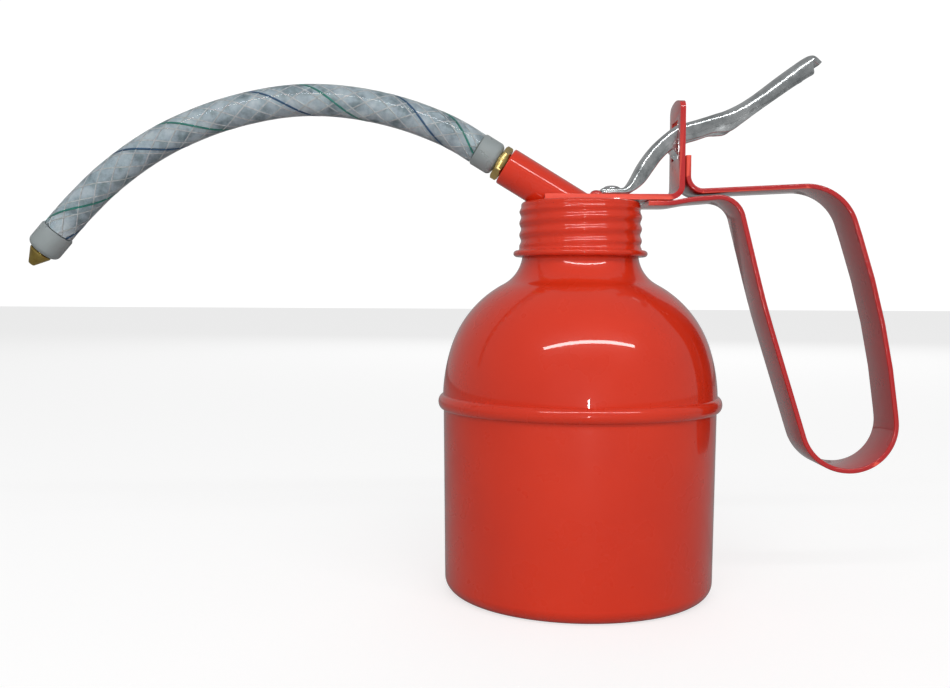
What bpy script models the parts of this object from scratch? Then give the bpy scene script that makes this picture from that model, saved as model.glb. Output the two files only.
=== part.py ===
"""Pump oil can with a flexible spout.

A drawn steel can carries a screw cap. Everything else rides on the cap: a bent bracket with a strap
handle, a lift pump that hangs through the neck, a thumb lever that rocks in the bracket's slot, and a
spout tube with a clear braided hose and a small brass nozzle.

Frame: metres, +Z up. The origin is on the can's axis, on the plane it stands on. The handle points
to +X and the spout to -X.
"""
import math

import bmesh
import bpy
from mathutils import Matrix, Vector

# ---------------------------------------------------------------- driving dimensions (metres)
GAP = 0.0003                 # clearance left between neighbouring pieces
SHEET = 0.0007               # body and cap sheet
CUT_OVER = 0.0010            # how far a cutter runs past the piece it cuts

BODY_RADIUS = 0.0476         # lower cup, just under the bead
BASE_RADIUS = 0.0469         # lower cup, above the bottom corner
BASE_CORNER = 0.0050
BASE_THICKNESS = 0.0008
CUP_TOP = 0.0668
BEAD_LOW = 0.0641            # lower edge of the rolled bead
BEAD_MIDDLE = 0.0665
BEAD_RADIUS = 0.0495
BEAD_HALF_HEIGHT = 0.0026
DOME_RADIUS = 0.0479
DOME_START = 0.0674
DOME_LOWER_ARC = 0.0600      # the long arc that leaves the bead
DOME_LOWER_ANGLE = math.radians(18.0)
DOME_UPPER_ARC = 0.0380
NECK_RADIUS = 0.0202
NECK_FILLET = 0.0125
NECK_TOP = 0.1340

THREAD_PITCH = 0.0041
THREAD_DEPTH = 0.0006
THREAD_PHASE = 0.1228        # height of a ridge's crest on the +X side
THREAD_LOW = 0.1198
THREAD_HIGH = 0.1345
THREAD_FADE = 0.0014
NECK_THREAD_RADIUS = 0.01975
CAP_THREAD_RADIUS = 0.0208
CAP_TOP = 0.1363
CAP_LOW = 0.1172
CAP_LIP_RADIUS = 0.0234
CAP_CORNER = 0.0012

GASKET_INNER = 0.0184
GASKET_OUTER = 0.0197
GASKET_LOW = 0.1343
GASKET_HIGH = 0.1352

BRACKET_THICKNESS = 0.0019
BRACKET_WIDTH = 0.0200
PLATE_LOW = 0.1366
PLATE_TOP = PLATE_LOW + BRACKET_THICKNESS
PLATE_FRONT = -0.0131
UPRIGHT_X = 0.0336           # middle of the upright's thickness
UPRIGHT_TOP = 0.1714
UPRIGHT_BEND = 0.0040
CROWN_RADIUS = 0.0300
CROWN_CORNER = 0.0030
SLOT_WIDTH = 0.0120
SLOT_LOW = 0.1510
SLOT_HIGH = 0.1643

STRAP_THICKNESS = 0.0017
STRAP_WIDTH = 0.0200
# Corners of the strap's centreline in the XZ plane, each with its bend radius.
STRAP_START = (0.0358, 0.1517)
STRAP_CORNERS = [
    (0.0358, 0.1394, 0.0051),
    (0.0887, 0.1421, 0.0175),
    (0.1048, 0.0948, 0.2900),
    (0.1107, 0.0422, 0.0158),
    (0.0802, 0.0446, 0.0164),
    (0.0626, 0.1001, 0.3000),
    (0.0528, 0.1381, 0.0085),
    (0.0370, 0.13675, 0.0200),
    (0.0305, 0.1355, 0.0200),
]
STRAP_END = (0.0223, 0.13545)

TOP_CUT_LOW = 0.1340         # the upright holes through the cap's top and the plate
TOP_CUT_HIGH = 0.1400
RIVET_X = 0.0046
RIVET_Y = 0.0076
RIVET_HEAD_RADIUS = 0.0020
RIVET_HEAD_HEIGHT = 0.0014
RIVET_SHANK_RADIUS = 0.0011
RIVET_TAIL_RADIUS = 0.0018
RIVET_TAIL_HEIGHT = 0.0006

PUMP_X = 0.0108              # axis of the pump and its rod
ROD_RADIUS = 0.0013
ROD_BOTTOM = 0.1030
ROD_HEAD_RADIUS = 0.0029
ROD_HEAD_LOW = 0.1412
ROD_HEAD_HEIGHT = 0.0010
BARREL_RADIUS = 0.00725
BARREL_BORE = 0.0060
BARREL_LOW = 0.0950
BARREL_CUT_LOW = 0.1000      # the spout is cut round the barrel from here up
BARREL_TOP = 0.1352
CHAMBER_TOP = 0.1300
GLAND_FLANGE_RADIUS = 0.0040
GLAND_TOP = 0.1395
GLAND_SHANK_RADIUS = 0.0024
GLAND_LOW = 0.1336
PACKING_LOW = 0.1319
PORT_RADIUS = 0.0022
PORT_START = -0.0400         # the oil port runs between these two places along the spout's axis
PORT_END = -0.0270

FOOT_TOP = 0.1010
FOOT_FLANGE_TOP = BARREL_LOW - GAP
FOOT_FLANGE_LOW = 0.0928
FOOT_LOW = 0.0880
FOOT_SHANK_RADIUS = BARREL_BORE - GAP
FOOT_SOCKET_TOP = 0.0930
INLET_RADIUS = 0.0018
VALVE_BALL_RADIUS = 0.0025
VALVE_SEAT_Z = 0.0970        # the seat cone's upper edge
VALVE_SEAT_HEIGHT = 0.0015
BALL_CHAMBER_RADIUS = 0.0033
RETAINER_RADIUS = 0.0044
RETAINER_HOLE = 0.0016
RETAINER_HEIGHT = 0.0008

PISTON_LOW = 0.1061
PISTON_TOP = 0.1121
PISTON_RADIUS = 0.0057
PISTON_GROOVE_LOW = 0.1080
PISTON_GROOVE_HIGH = 0.1106
PISTON_GROOVE_RADIUS = 0.0046
TRANSFER_HOLE_RADIUS = 0.0008
TRANSFER_HOLE_CIRCLE = 0.0032
NUT_ACROSS_FLATS = 0.0055
NUT_HEIGHT = 0.0020
FLAP_RADIUS = 0.0051
FLAP_HEIGHT = 0.0008
FLAP_LIFT = 0.0008
STOP_RADIUS = 0.0050
STOP_HEIGHT = 0.0007
SPRING_RADIUS = 0.0042
SPRING_WIRE = 0.00045
SPRING_TURNS = 5.5

SUCTION_RADIUS = 0.0030
SUCTION_BORE = 0.0022
SUCTION_LOW = 0.0085
STRAINER_RADIUS = 0.0042
STRAINER_LOW = 0.0040
STRAINER_TOP = 0.0130
STRAINER_SLOT = 0.0012
STRAINER_FLOOR = 0.0010

SPOUT_END = Vector((-0.02635, 0.0, 0.1489))
SPOUT_TILT = math.radians(31.3)          # the tube's fall below the level
SPOUT_RADIUS = 0.00675
SPOUT_BORE = 0.0046
SPOUT_LENGTH = 0.0420
SPOUT_CHAMFER = 0.0006
TAIL_END_X = PUMP_X - 0.0037             # the tube and its hole stop here, short of the gland
TRIM_SIZE = 0.0300                       # the block that trims the tube's lower end

HEX_ACROSS_FLATS = 0.0110
HEX_HEIGHT = 0.0027
FITTING_SHANK_RADIUS = SPOUT_BORE - GAP
FITTING_SHANK_LENGTH = 0.0080
BARB_RADIUS = 0.0032
BARB_BORE = 0.0020
BARB_TAPER = 0.0006
BARB_LEAD = 0.0015
FERRULE_ROUNDING = 0.0012
FERRULE_RADIUS = 0.0059
FERRULE_LENGTH = 0.0080
FERRULE_BORE = BARB_RADIUS + GAP

HOSE_RADIUS = 0.0055
HOSE_OFFSET = 3.0 * GAP + HEX_HEIGHT + FERRULE_LENGTH      # along the spout, from its end to the hose
# The hose's route in the XZ plane, from the ferrule at the spout to the ferrule at the nozzle.
HOSE_ROUTE = [
    (SPOUT_END.x - HOSE_OFFSET * math.cos(SPOUT_TILT), SPOUT_END.z + HOSE_OFFSET * math.sin(SPOUT_TILT)),
    (-0.0421, 0.1585),
    (-0.0490, 0.1619),
    (-0.0600, 0.1660),
    (-0.0711, 0.1689),
    (-0.0824, 0.1707),
    (-0.0937, 0.1713),
    (-0.1050, 0.1705),
    (-0.1160, 0.1684),
    (-0.1255, 0.1658),
    (-0.1344, 0.1625),
    (-0.1444, 0.1579),
    (-0.1548, 0.1516),
    (-0.1656, 0.1433),
    (-0.1744, 0.1348),
    (-0.1800, 0.1287),
    (-0.1827, 0.1255),
]
HOSE_STEPS_PER_SPAN = 2

TIP_DIRECTION = Vector((-0.650, 0.0, -0.760)).normalized()
TIP_FERRULE_RADIUS = 0.0061
TIP_FERRULE_LENGTH = 0.0090
TIP_FERRULE_ROUNDING = 0.0022
NOZZLE_BASE_RADIUS = 0.0040
NOZZLE_TIP_RADIUS = 0.00125
NOZZLE_LENGTH = 0.0056
NOZZLE_BORE = 0.0006

LEVER_SHEET = 0.0011
LEVER_HALF_WIDTH = 0.0055
THUMB_HALF_WIDTH = 0.0070
LEVER_PIVOT = Vector((UPRIGHT_X, 0.0, 0.1513))
# Stations along the lever's top face: x, z, heading in degrees, half width, flange depth.
LEVER_STATIONS = [
    (0.0070, 0.1409, 0, LEVER_HALF_WIDTH, 0.0019),
    (0.0132, 0.1409, 4, LEVER_HALF_WIDTH, 0.0019),
    (0.0150, 0.1415, 35, LEVER_HALF_WIDTH, 0.0026),
    (0.0163, 0.1429, 55, LEVER_HALF_WIDTH, 0.0036),
    (0.0178, 0.1455, 60, LEVER_HALF_WIDTH, 0.0046),
    (0.0199, 0.1495, 60, LEVER_HALF_WIDTH, 0.0052),
    (0.0226, 0.1535, 53, LEVER_HALF_WIDTH, 0.0053),
    (0.0251, 0.1565, 47, LEVER_HALF_WIDTH, 0.0055),
    (0.0275, 0.1588, 42, LEVER_HALF_WIDTH, 0.0058),
    (0.0299, 0.1608, 38, LEVER_HALF_WIDTH, 0.0060),
    (0.0330, 0.1628, 24, LEVER_HALF_WIDTH, 0.0062),
    (0.0360, 0.1636, 16, LEVER_HALF_WIDTH, 0.0062),
    (0.0398, 0.1647, 17, LEVER_HALF_WIDTH, 0.0062),
    (0.0433, 0.1658, 17, LEVER_HALF_WIDTH, 0.0061),
    (0.0460, 0.1667, 18, 0.0056, 0.0069),
    (0.0486, 0.1675, 21, 0.0058, 0.0073),
    (0.0520, 0.1690, 26, 0.0062, 0.0064),
    (0.0551, 0.1707, 32, 0.0066, 0.0058),
    (0.0590, 0.1733, 36, THUMB_HALF_WIDTH, 0.0056),
    (0.0628, 0.1761, 37, THUMB_HALF_WIDTH, 0.0057),
    (0.0676, 0.1798, 37, THUMB_HALF_WIDTH, 0.0060),
    (0.0725, 0.1834, 36, THUMB_HALF_WIDTH, 0.0063),
    (0.0758, 0.1856, 28, THUMB_HALF_WIDTH, 0.0063),
    (0.0778, 0.1864, 8, THUMB_HALF_WIDTH, 0.0036),
    (0.0795, 0.1861, -25, 0.0067, 0.0021),
    (0.0818, 0.1843, -42, 0.0060, 0.0014),
]
LEVER_CORNER = 0.0014
LEVER_HOLE_HALF_WIDTH = ROD_RADIUS + GAP
LEVER_HOLE_FRONT = 0.0091
LEVER_HOLE_REAR = 0.0149
ROD_HOLE_CUT = 0.0060        # height of the slotted hole's cutter
EAR_SHEET = LEVER_SHEET - 0.0002
EAR_FRONT = (0.0307, 0.1550)
EAR_TOE = (0.0333, 0.15145)
EAR_HEEL = (0.0344, 0.15145)
EAR_BACK = (0.0344, 0.1590)
EAR_FRONT_TOP = (0.0290, 0.1570)

BODY_SEGMENTS = 36
SMALL_SEGMENTS = 24
BORE_SEGMENTS = 24

# ---------------------------------------------------------------- colours: base colour, metallic, roughness
RED_ENAMEL = ((0.70, 0.045, 0.020), 0.0, 0.25)
BRIGHT_ZINC = ((0.72, 0.73, 0.74), 1.0, 0.25)
BRASS = ((0.78, 0.57, 0.20), 1.0, 0.30)
STEEL = ((0.56, 0.57, 0.58), 1.0, 0.35)
BLACK_RUBBER = ((0.03, 0.03, 0.03), 0.0, 0.80)
CLEAR_PVC = ((0.62, 0.68, 0.70), 0.0, 0.20)
CLEAR_NYLON = ((0.70, 0.74, 0.76), 0.0, 0.15)
LEATHER = ((0.25, 0.13, 0.06), 0.0, 0.85)


# ---------------------------------------------------------------- scene and object helpers
def clear_scene():
    for item in list(bpy.data.objects):
        bpy.data.objects.remove(item, do_unlink=True)


def new_collection(name, visible=True):
    collection = bpy.data.collections.new(name)
    bpy.context.scene.collection.children.link(collection)
    collection.hide_render = not visible
    return collection


def make_material(name, look):
    colour, metallic, roughness = look
    material = bpy.data.materials.new(name)
    material.use_nodes = True
    shader = material.node_tree.nodes["Principled BSDF"]
    shader.inputs["Base Color"].default_value = (*colour, 1.0)
    shader.inputs["Metallic"].default_value = metallic
    shader.inputs["Roughness"].default_value = roughness
    return material


def make_axis(name, location, tilt=0.0):
    """An empty on a joint's or a tube's axis, its Z leaning from +Z towards +X by tilt."""
    axis = bpy.data.objects.new(name, None)
    PARTS.objects.link(axis)
    axis.location = location
    axis.rotation_euler = (0.0, tilt, 0.0)
    axis.empty_display_size = 0.01
    return axis


def hold(item, axis):
    """Parents a piece that is modelled in world coordinates to an axis and leaves it in place."""
    bpy.context.view_layer.update()
    item.parent = axis
    item.matrix_parent_inverse = axis.matrix_world.inverted()


def add_object(name, mesh, look, collection=None):
    item = bpy.data.objects.new(name, mesh)
    (collection or PARTS).objects.link(item)
    if look:
        mesh.materials.append(make_material(name, look))
    return item


def smooth(mesh, angle=35.0):
    mesh.shade_smooth()
    mesh.set_sharp_from_angle(angle=math.radians(angle))


def as_mesh(item):
    """The object's evaluated shape as its own mesh, in place of its modifiers or its curve."""
    bpy.context.view_layer.update()
    name = item.name
    graph = bpy.context.evaluated_depsgraph_get()
    mesh = bpy.data.meshes.new_from_object(item.evaluated_get(graph))
    shape = bmesh.new()
    shape.from_mesh(mesh)
    bmesh.ops.remove_doubles(shape, verts=shape.verts, dist=1e-6)
    shape.to_mesh(mesh)
    shape.free()
    if item.type == "MESH":
        item.modifiers.clear()
        item.data = mesh
        return item
    matrix = item.matrix_world.copy()
    collection = item.users_collection[0]
    bpy.data.objects.remove(item, do_unlink=True)
    solid = bpy.data.objects.new(name, mesh)
    collection.objects.link(solid)
    solid.matrix_world = matrix
    return solid


def boolean(item, other, operation="DIFFERENCE"):
    modifier = item.modifiers.new(f"{operation.lower()}_{other.name}", "BOOLEAN")
    modifier.operation = operation
    modifier.object = other
    modifier.solver = "EXACT"
    return modifier


def as_cutter(item):
    """Moves an object to the cutters, where neither a render nor the build shows it."""
    for collection in list(item.users_collection):
        collection.objects.unlink(item)
    CUTTERS.objects.link(item)
    item.hide_render = True
    item.display_type = "WIRE"
    return item


def turned(name, profile, look, segments=SMALL_SEGMENTS, closed=True, axis=None, collection=None):
    """A turned piece. The profile is (radius, height) pairs that run down the outer side first."""
    shape = bmesh.new()
    points = [shape.verts.new((radius, 0.0, height)) for radius, height in profile]
    for first, second in zip(points, points[1:]):
        shape.edges.new((first, second))
    if closed:
        shape.edges.new((points[-1], points[0]))
    mesh = bpy.data.meshes.new(name)
    shape.to_mesh(mesh)
    shape.free()
    item = add_object(name, mesh, look, collection)
    if axis:
        item.parent = axis
    screw = item.modifiers.new("turn", "SCREW")
    screw.axis = "Z"
    screw.steps = segments
    screw.render_steps = segments
    screw.use_merge_vertices = True
    screw.merge_threshold = 0.00002
    screw.use_smooth_shade = True
    return item


def cylinder(name, radius, low, high, look=None, segments=BORE_SEGMENTS, axis=None, centre=(0.0, 0.0)):
    """An upright cylinder between two heights, in the world or in an axis's own frame."""
    shape = bmesh.new()
    middle = Matrix.Translation((centre[0], centre[1], (low + high) / 2.0))
    bmesh.ops.create_cone(shape, cap_ends=True, segments=segments, radius1=radius, radius2=radius,
                          depth=high - low, matrix=middle)
    mesh = bpy.data.meshes.new(name)
    shape.to_mesh(mesh)
    shape.free()
    smooth(mesh)
    item = add_object(name, mesh, look)
    if axis:
        item.parent = axis
    return item


def box(name, low, high):
    shape = bmesh.new()
    size = [b - a for a, b in zip(low, high)]
    middle = [(a + b) / 2.0 for a, b in zip(low, high)]
    bmesh.ops.create_cube(shape, size=1.0, matrix=Matrix.Translation(middle) @ Matrix.Diagonal((*size, 1.0)))
    mesh = bpy.data.meshes.new(name)
    shape.to_mesh(mesh)
    shape.free()
    return add_object(name, mesh, None)


def ring(name, outer, inner, low, high, look, segments=SMALL_SEGMENTS, axis=None):
    return turned(name, [(outer, high), (outer, low), (inner, low), (inner, high)], look, segments, axis=axis)


# ---------------------------------------------------------------- outline helpers
def arc(centre, radius, start, end, steps):
    """Points from one angle to the other, in degrees, on a circle in a two-dimensional plane."""
    points = []
    for step in range(steps + 1):
        angle = math.radians(start + (end - start) * step / steps)
        points.append((centre[0] + radius * math.cos(angle), centre[1] + radius * math.sin(angle)))
    return points


def offset_inwards(points, distance):
    """The line moved to the right-hand side of its direction of travel."""
    moved = []
    for index, point in enumerate(points):
        before = Vector(points[max(index - 1, 0)])
        after = Vector(points[min(index + 1, len(points) - 1)])
        along = (after - before).normalized()
        moved.append((point[0] + along.y * distance, point[1] - along.x * distance))
    return moved


def bent_line(start, corners, end, degrees_per_step=10.0):
    """A centreline of straight runs joined by round bends; each corner is x, z, bend radius."""
    nodes = [Vector(start)] + [Vector(corner[:2]) for corner in corners] + [Vector(end)]
    line = [nodes[0]]
    for index, corner in enumerate(corners, start=1):
        back = (nodes[index - 1] - nodes[index]).normalized()
        ahead = (nodes[index + 1] - nodes[index]).normalized()
        half = math.acos(max(-1.0, min(1.0, back.dot(ahead)))) / 2.0
        radius = corner[2]
        centre = nodes[index] + (back + ahead).normalized() * (radius / math.sin(half))
        leg = radius / math.tan(half)
        first = nodes[index] + back * leg - centre
        turn = first.angle_signed(nodes[index] + ahead * leg - centre)
        steps = max(2, round(abs(math.degrees(turn)) / degrees_per_step))
        for step in range(steps + 1):
            angle = -turn * step / steps
            line.append(centre + Matrix.Rotation(angle, 2) @ first)
    line.append(nodes[-1])
    return line


def smooth_route(points, steps):
    """Catmull-Rom samples through the points, which are (x, z) pairs."""
    ends = [tuple(2 * a - b for a, b in zip(points[0], points[1])),
            tuple(2 * a - b for a, b in zip(points[-1], points[-2]))]
    padded = [ends[0], *points, ends[1]]
    route = []
    for index in range(1, len(padded) - 2):
        p0, p1, p2, p3 = (Vector(p) for p in padded[index - 1:index + 3])
        for step in range(steps):
            t = step / steps
            route.append(0.5 * (2 * p1 + (p2 - p0) * t + (2 * p0 - 5 * p1 + 4 * p2 - p3) * t * t
                                + (3 * p1 - p0 - 3 * p2 + p3) * t * t * t))
    route.append(Vector(points[-1]))
    return route


def ribbon(name, line, width, thickness, look):
    """A flat strip of sheet that follows a line in the XZ plane, as an open surface with Solidify."""
    shape = bmesh.new()
    rows = []
    for x, z in line:
        rows.append([shape.verts.new((x, side * width / 2.0, z)) for side in (-1, 1)])
    for first, second in zip(rows, rows[1:]):
        shape.faces.new((first[0], first[1], second[1], second[0]))
    mesh = bpy.data.meshes.new(name)
    shape.to_mesh(mesh)
    shape.free()
    smooth(mesh)
    item = add_object(name, mesh, look)
    solid = item.modifiers.new("thickness", "SOLIDIFY")
    solid.thickness = thickness
    solid.offset = 0.0
    solid.use_even_offset = True
    return item


# ---------------------------------------------------------------- the can
def thread_fade(height):
    """0 below and above the thread, 1 along it."""
    low = min(1.0, max(0.0, (height - THREAD_LOW) / THREAD_FADE))
    high = min(1.0, max(0.0, (THREAD_HIGH - height) / THREAD_FADE))
    return low, high


def roll_thread(item, mouth):
    """Moves each point of a turned sheet out by the rolled thread's right-hand ridge.

    Below the thread the sheet lies at the groove's radius, or at the crest's where it is a mouth.
    """
    item = as_mesh(item)
    for vertex in item.data.vertices:
        radius = math.hypot(vertex.co.x, vertex.co.y)
        low, high = thread_fade(vertex.co.z)
        if radius < NECK_RADIUS - 0.003 or high == 0.0 or (low == 0.0 and not mouth):
            continue
        if low == 0.0 and vertex.co.z < THREAD_LOW:
            continue
        turn = math.atan2(vertex.co.y, vertex.co.x) / (2.0 * math.pi)
        phase = (vertex.co.z - THREAD_PHASE) / THREAD_PITCH - turn
        ridge = (1.0 + math.cos(2.0 * math.pi * phase)) / 2.0
        depth = THREAD_DEPTH * (ridge * min(low, high) + (1.0 - low) * mouth)
        vertex.co.x *= (radius + depth) / radius
        vertex.co.y *= (radius + depth) / radius
    smooth(item.data, 40.0)
    return item


def thread_rows(radius, low, high, step=0.00128):
    count = round((high - low) / step)
    return [(radius, high - (high - low) * row / count) for row in range(count + 1)]


def make_lower_body():
    wall_lean = math.degrees(math.atan2(BODY_RADIUS - BASE_RADIUS, BEAD_LOW - BASE_CORNER))
    outer = [(BODY_RADIUS + 0.0006, CUP_TOP), (BODY_RADIUS, CUP_TOP - 0.0014), (BODY_RADIUS, BEAD_LOW - 0.002)]
    outer += arc((BASE_RADIUS - BASE_CORNER, BASE_CORNER), BASE_CORNER, -wall_lean, -90.0, 4)
    inner = arc((BASE_RADIUS - BASE_CORNER, BASE_CORNER), BASE_CORNER - BASE_THICKNESS, -90.0, -wall_lean, 4)
    inner += [(BODY_RADIUS - BASE_THICKNESS, BEAD_LOW - 0.002), (BODY_RADIUS - BASE_THICKNESS, CUP_TOP - 0.0010)]
    profile = outer + [(0.0, 0.0), (0.0, BASE_THICKNESS)] + inner
    return turned("lower_body", profile, RED_ENAMEL, BODY_SEGMENTS)


def dome_line():
    """The upper shell's outer line from under the thread to the bead, as tangent arcs."""
    lower = Vector((DOME_RADIUS - DOME_LOWER_ARC, DOME_START))
    join = Vector((math.cos(DOME_LOWER_ANGLE), math.sin(DOME_LOWER_ANGLE)))
    upper = lower + join * (DOME_LOWER_ARC - DOME_UPPER_ARC)
    fillet_x = NECK_RADIUS + NECK_FILLET
    reach = DOME_UPPER_ARC + NECK_FILLET
    fillet = Vector((fillet_x, upper.y + math.sqrt(reach ** 2 - (fillet_x - upper.x) ** 2)))
    meet = math.degrees(math.atan2(fillet.y - upper.y, fillet.x - upper.x))
    join_angle = math.degrees(DOME_LOWER_ANGLE)
    bead_top = math.degrees(math.asin((BEAD_MIDDLE + BEAD_HALF_HEIGHT - DOME_START) / DOME_LOWER_ARC))
    points = arc(fillet, NECK_FILLET, 180.0, 180.0 + meet, 4)
    points += arc(upper, DOME_UPPER_ARC, meet, join_angle, 5)[1:]
    points += arc(lower, DOME_LOWER_ARC, join_angle, bead_top, 2)[1:]
    return points


def bead_line():
    """The rolled bead: half an ellipse that ends at its lower edge."""
    half_depth = BEAD_RADIUS - BODY_RADIUS
    end = math.degrees(math.asin((BEAD_LOW - BEAD_MIDDLE) / BEAD_HALF_HEIGHT))
    unit = arc((0.0, 0.0), 1.0, 68.0, end, 5)
    return [(BODY_RADIUS + half_depth * x, BEAD_MIDDLE + BEAD_HALF_HEIGHT * y) for x, y in unit]


def make_upper_body():
    neck = thread_rows(NECK_THREAD_RADIUS, THREAD_LOW + 0.0002, NECK_TOP)
    outer = neck + dome_line() + bead_line()
    inner = offset_inwards(outer, SHEET)
    item = turned("upper_body", outer + inner[::-1], RED_ENAMEL, BODY_SEGMENTS)
    return roll_thread(item, mouth=0)


def make_cap():
    side = thread_rows(CAP_THREAD_RADIUS, THREAD_LOW, CAP_TOP - CAP_CORNER - 0.0003)
    corner = arc((CAP_THREAD_RADIUS - CAP_CORNER, CAP_TOP - CAP_CORNER), CAP_CORNER, 90.0, 10.0, 3)
    roll_radius = (THREAD_LOW - 0.0004 - CAP_LOW) / 2.0
    roll = arc((CAP_LIP_RADIUS - roll_radius, CAP_LOW + roll_radius), roll_radius, 110.0, -90.0, 7)
    inner_lip = [(CAP_THREAD_RADIUS + THREAD_DEPTH - SHEET + 0.0001, CAP_LOW + 0.0004)]
    inner_side = [(CAP_THREAD_RADIUS - SHEET, height) for _, height in side[::-1]]
    inner_side[0] = (inner_lip[0][0], THREAD_LOW - 0.0001)
    underside = [(CAP_THREAD_RADIUS - 0.0013, CAP_TOP - SHEET), (0.0, CAP_TOP - SHEET)]
    profile = [(0.0, CAP_TOP)] + corner + side + roll + inner_lip + inner_side + underside
    item = turned("cap", profile, RED_ENAMEL, BODY_SEGMENTS, closed=False)
    item = roll_thread(item, mouth=1)
    for cutter in (SPOUT_CUTTER, GLAND_CUTTER, *RIVET_CUTTERS):
        boolean(item, cutter)
    hold(item, CAP_AXIS)
    return item


def make_cap_gasket():
    item = ring("cap_gasket", GASKET_OUTER, GASKET_INNER, GASKET_LOW, GASKET_HIGH, BLACK_RUBBER, BODY_SEGMENTS)
    hold(item, CAP_AXIS)
    return item


# ---------------------------------------------------------------- bracket and handle
def crown_outline():
    """The upright's outline in the YZ plane: straight sides, round shoulders and a low crown."""
    half = BRACKET_WIDTH / 2.0
    centre = UPRIGHT_TOP - CROWN_RADIUS
    shoulder_y = half - CROWN_CORNER
    shoulder_z = centre + math.sqrt((CROWN_RADIUS - CROWN_CORNER) ** 2 - shoulder_y ** 2)
    lean = math.degrees(math.atan2(shoulder_z - centre, shoulder_y))
    right = arc((shoulder_y, shoulder_z), CROWN_CORNER, 0.0, lean, 4)
    top = arc((0.0, centre), CROWN_RADIUS, lean, 180.0 - lean, 6)[1:-1]
    left = [(-y, z) for y, z in right[::-1]]
    low = PLATE_LOW - 5.0 * CUT_OVER
    return [(half, low)] + right + top + left + [(-half, low)]


def make_bracket():
    middle = PLATE_LOW + BRACKET_THICKNESS / 2.0
    line = bent_line((PLATE_FRONT, middle), [(UPRIGHT_X, middle, UPRIGHT_BEND)],
                     (UPRIGHT_X, UPRIGHT_TOP + 2.0 * CUT_OVER), degrees_per_step=15.0)
    item = ribbon("bracket", line, BRACKET_WIDTH + 2.0 * CUT_OVER, BRACKET_THICKNESS, RED_ENAMEL)
    outline = bpy.data.curves.new("bracket_crown", "CURVE")
    outline.dimensions = "2D"
    outline.fill_mode = "BOTH"
    outline.extrude = 0.06
    spline = outline.splines.new("POLY")
    points = crown_outline()
    spline.points.add(len(points) - 1)
    for point, (y, z) in zip(spline.points, points):
        point.co = (y, z, 0.0, 1.0)
    spline.use_cyclic_u = True
    crown = bpy.data.objects.new("bracket_crown", outline)
    CUTTERS.objects.link(crown)
    # The curve's own x and y become the world's Y and Z.
    crown.matrix_world = Matrix(((0, 0, 1, 0), (1, 0, 0, 0), (0, 1, 0, 0), (0, 0, 0, 1)))
    crown = as_cutter(as_mesh(crown))
    boolean(item, crown, "INTERSECT")
    slot = as_cutter(box("bracket_slot", (UPRIGHT_X - 3.0 * CUT_OVER, -SLOT_WIDTH / 2.0, SLOT_LOW),
                         (UPRIGHT_X + 3.0 * CUT_OVER, SLOT_WIDTH / 2.0, SLOT_HIGH)))
    for cutter in (slot, SPOUT_CUTTER, GLAND_CUTTER, *RIVET_CUTTERS):
        boolean(item, cutter)
    hold(item, CAP_AXIS)
    return item


def make_handle_strap():
    line = bent_line(STRAP_START, STRAP_CORNERS, STRAP_END)
    item = ribbon("handle_strap", line, STRAP_WIDTH, STRAP_THICKNESS, RED_ENAMEL)
    hold(item, CAP_AXIS)
    return item


def make_bracket_rivet(name, side):
    """A round-head rivet through the bracket's plate and the cap, closed under the cap."""
    head_low = PLATE_TOP + GAP
    tail_top = CAP_TOP - SHEET - GAP
    head = [(RIVET_HEAD_RADIUS * math.cos(math.radians(a)), head_low + RIVET_HEAD_HEIGHT * math.sin(math.radians(a)))
            for a in (90, 65, 40, 15, 0)]
    head[0] = (0.0, head_low + RIVET_HEAD_HEIGHT)
    shank = [(RIVET_SHANK_RADIUS, head_low), (RIVET_SHANK_RADIUS, tail_top)]
    tail = [(RIVET_TAIL_RADIUS, tail_top), (RIVET_TAIL_RADIUS, tail_top - RIVET_TAIL_HEIGHT),
            (0.0, tail_top - RIVET_TAIL_HEIGHT)]
    item = turned(name, head + shank + tail, RED_ENAMEL, 16, closed=False)
    item.location = (RIVET_X, side * RIVET_Y, 0.0)
    hold(item, CAP_AXIS)
    return item


# ---------------------------------------------------------------- pump
def make_rod_gland():
    flange_low = PLATE_TOP + GAP
    bore = ROD_RADIUS + GAP
    profile = [(bore, GLAND_TOP), (GLAND_FLANGE_RADIUS, GLAND_TOP), (GLAND_FLANGE_RADIUS, flange_low),
               (GLAND_SHANK_RADIUS, flange_low), (GLAND_SHANK_RADIUS, GLAND_LOW), (bore, GLAND_LOW)]
    return turned("rod_gland", profile, BRASS, axis=PUMP_AXIS)


def make_rod_packing():
    return ring("rod_packing", GLAND_SHANK_RADIUS, ROD_RADIUS + GAP, PACKING_LOW, GLAND_LOW - GAP,
                BLACK_RUBBER, axis=PUMP_AXIS)


def make_pump_cylinder():
    """The barrel: open below, closed above by a head with the gland's pocket and the rod's hole."""
    pocket = GLAND_SHANK_RADIUS + GAP
    rod_hole = ROD_RADIUS + GAP
    pocket_floor = PACKING_LOW - GAP
    profile = [(pocket, BARREL_TOP), (BARREL_RADIUS, BARREL_TOP), (BARREL_RADIUS, BARREL_LOW),
               (BARREL_BORE, BARREL_LOW), (BARREL_BORE, CHAMBER_TOP), (rod_hole, CHAMBER_TOP),
               (rod_hole, pocket_floor), (pocket, pocket_floor)]
    item = turned("pump_cylinder", profile, BRASS, axis=PUMP_AXIS)
    port = as_cutter(cylinder("port_cutter", PORT_RADIUS, PORT_START, PORT_END, axis=SPOUT_AXIS, segments=16))
    boolean(item, port)
    return item


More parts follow.
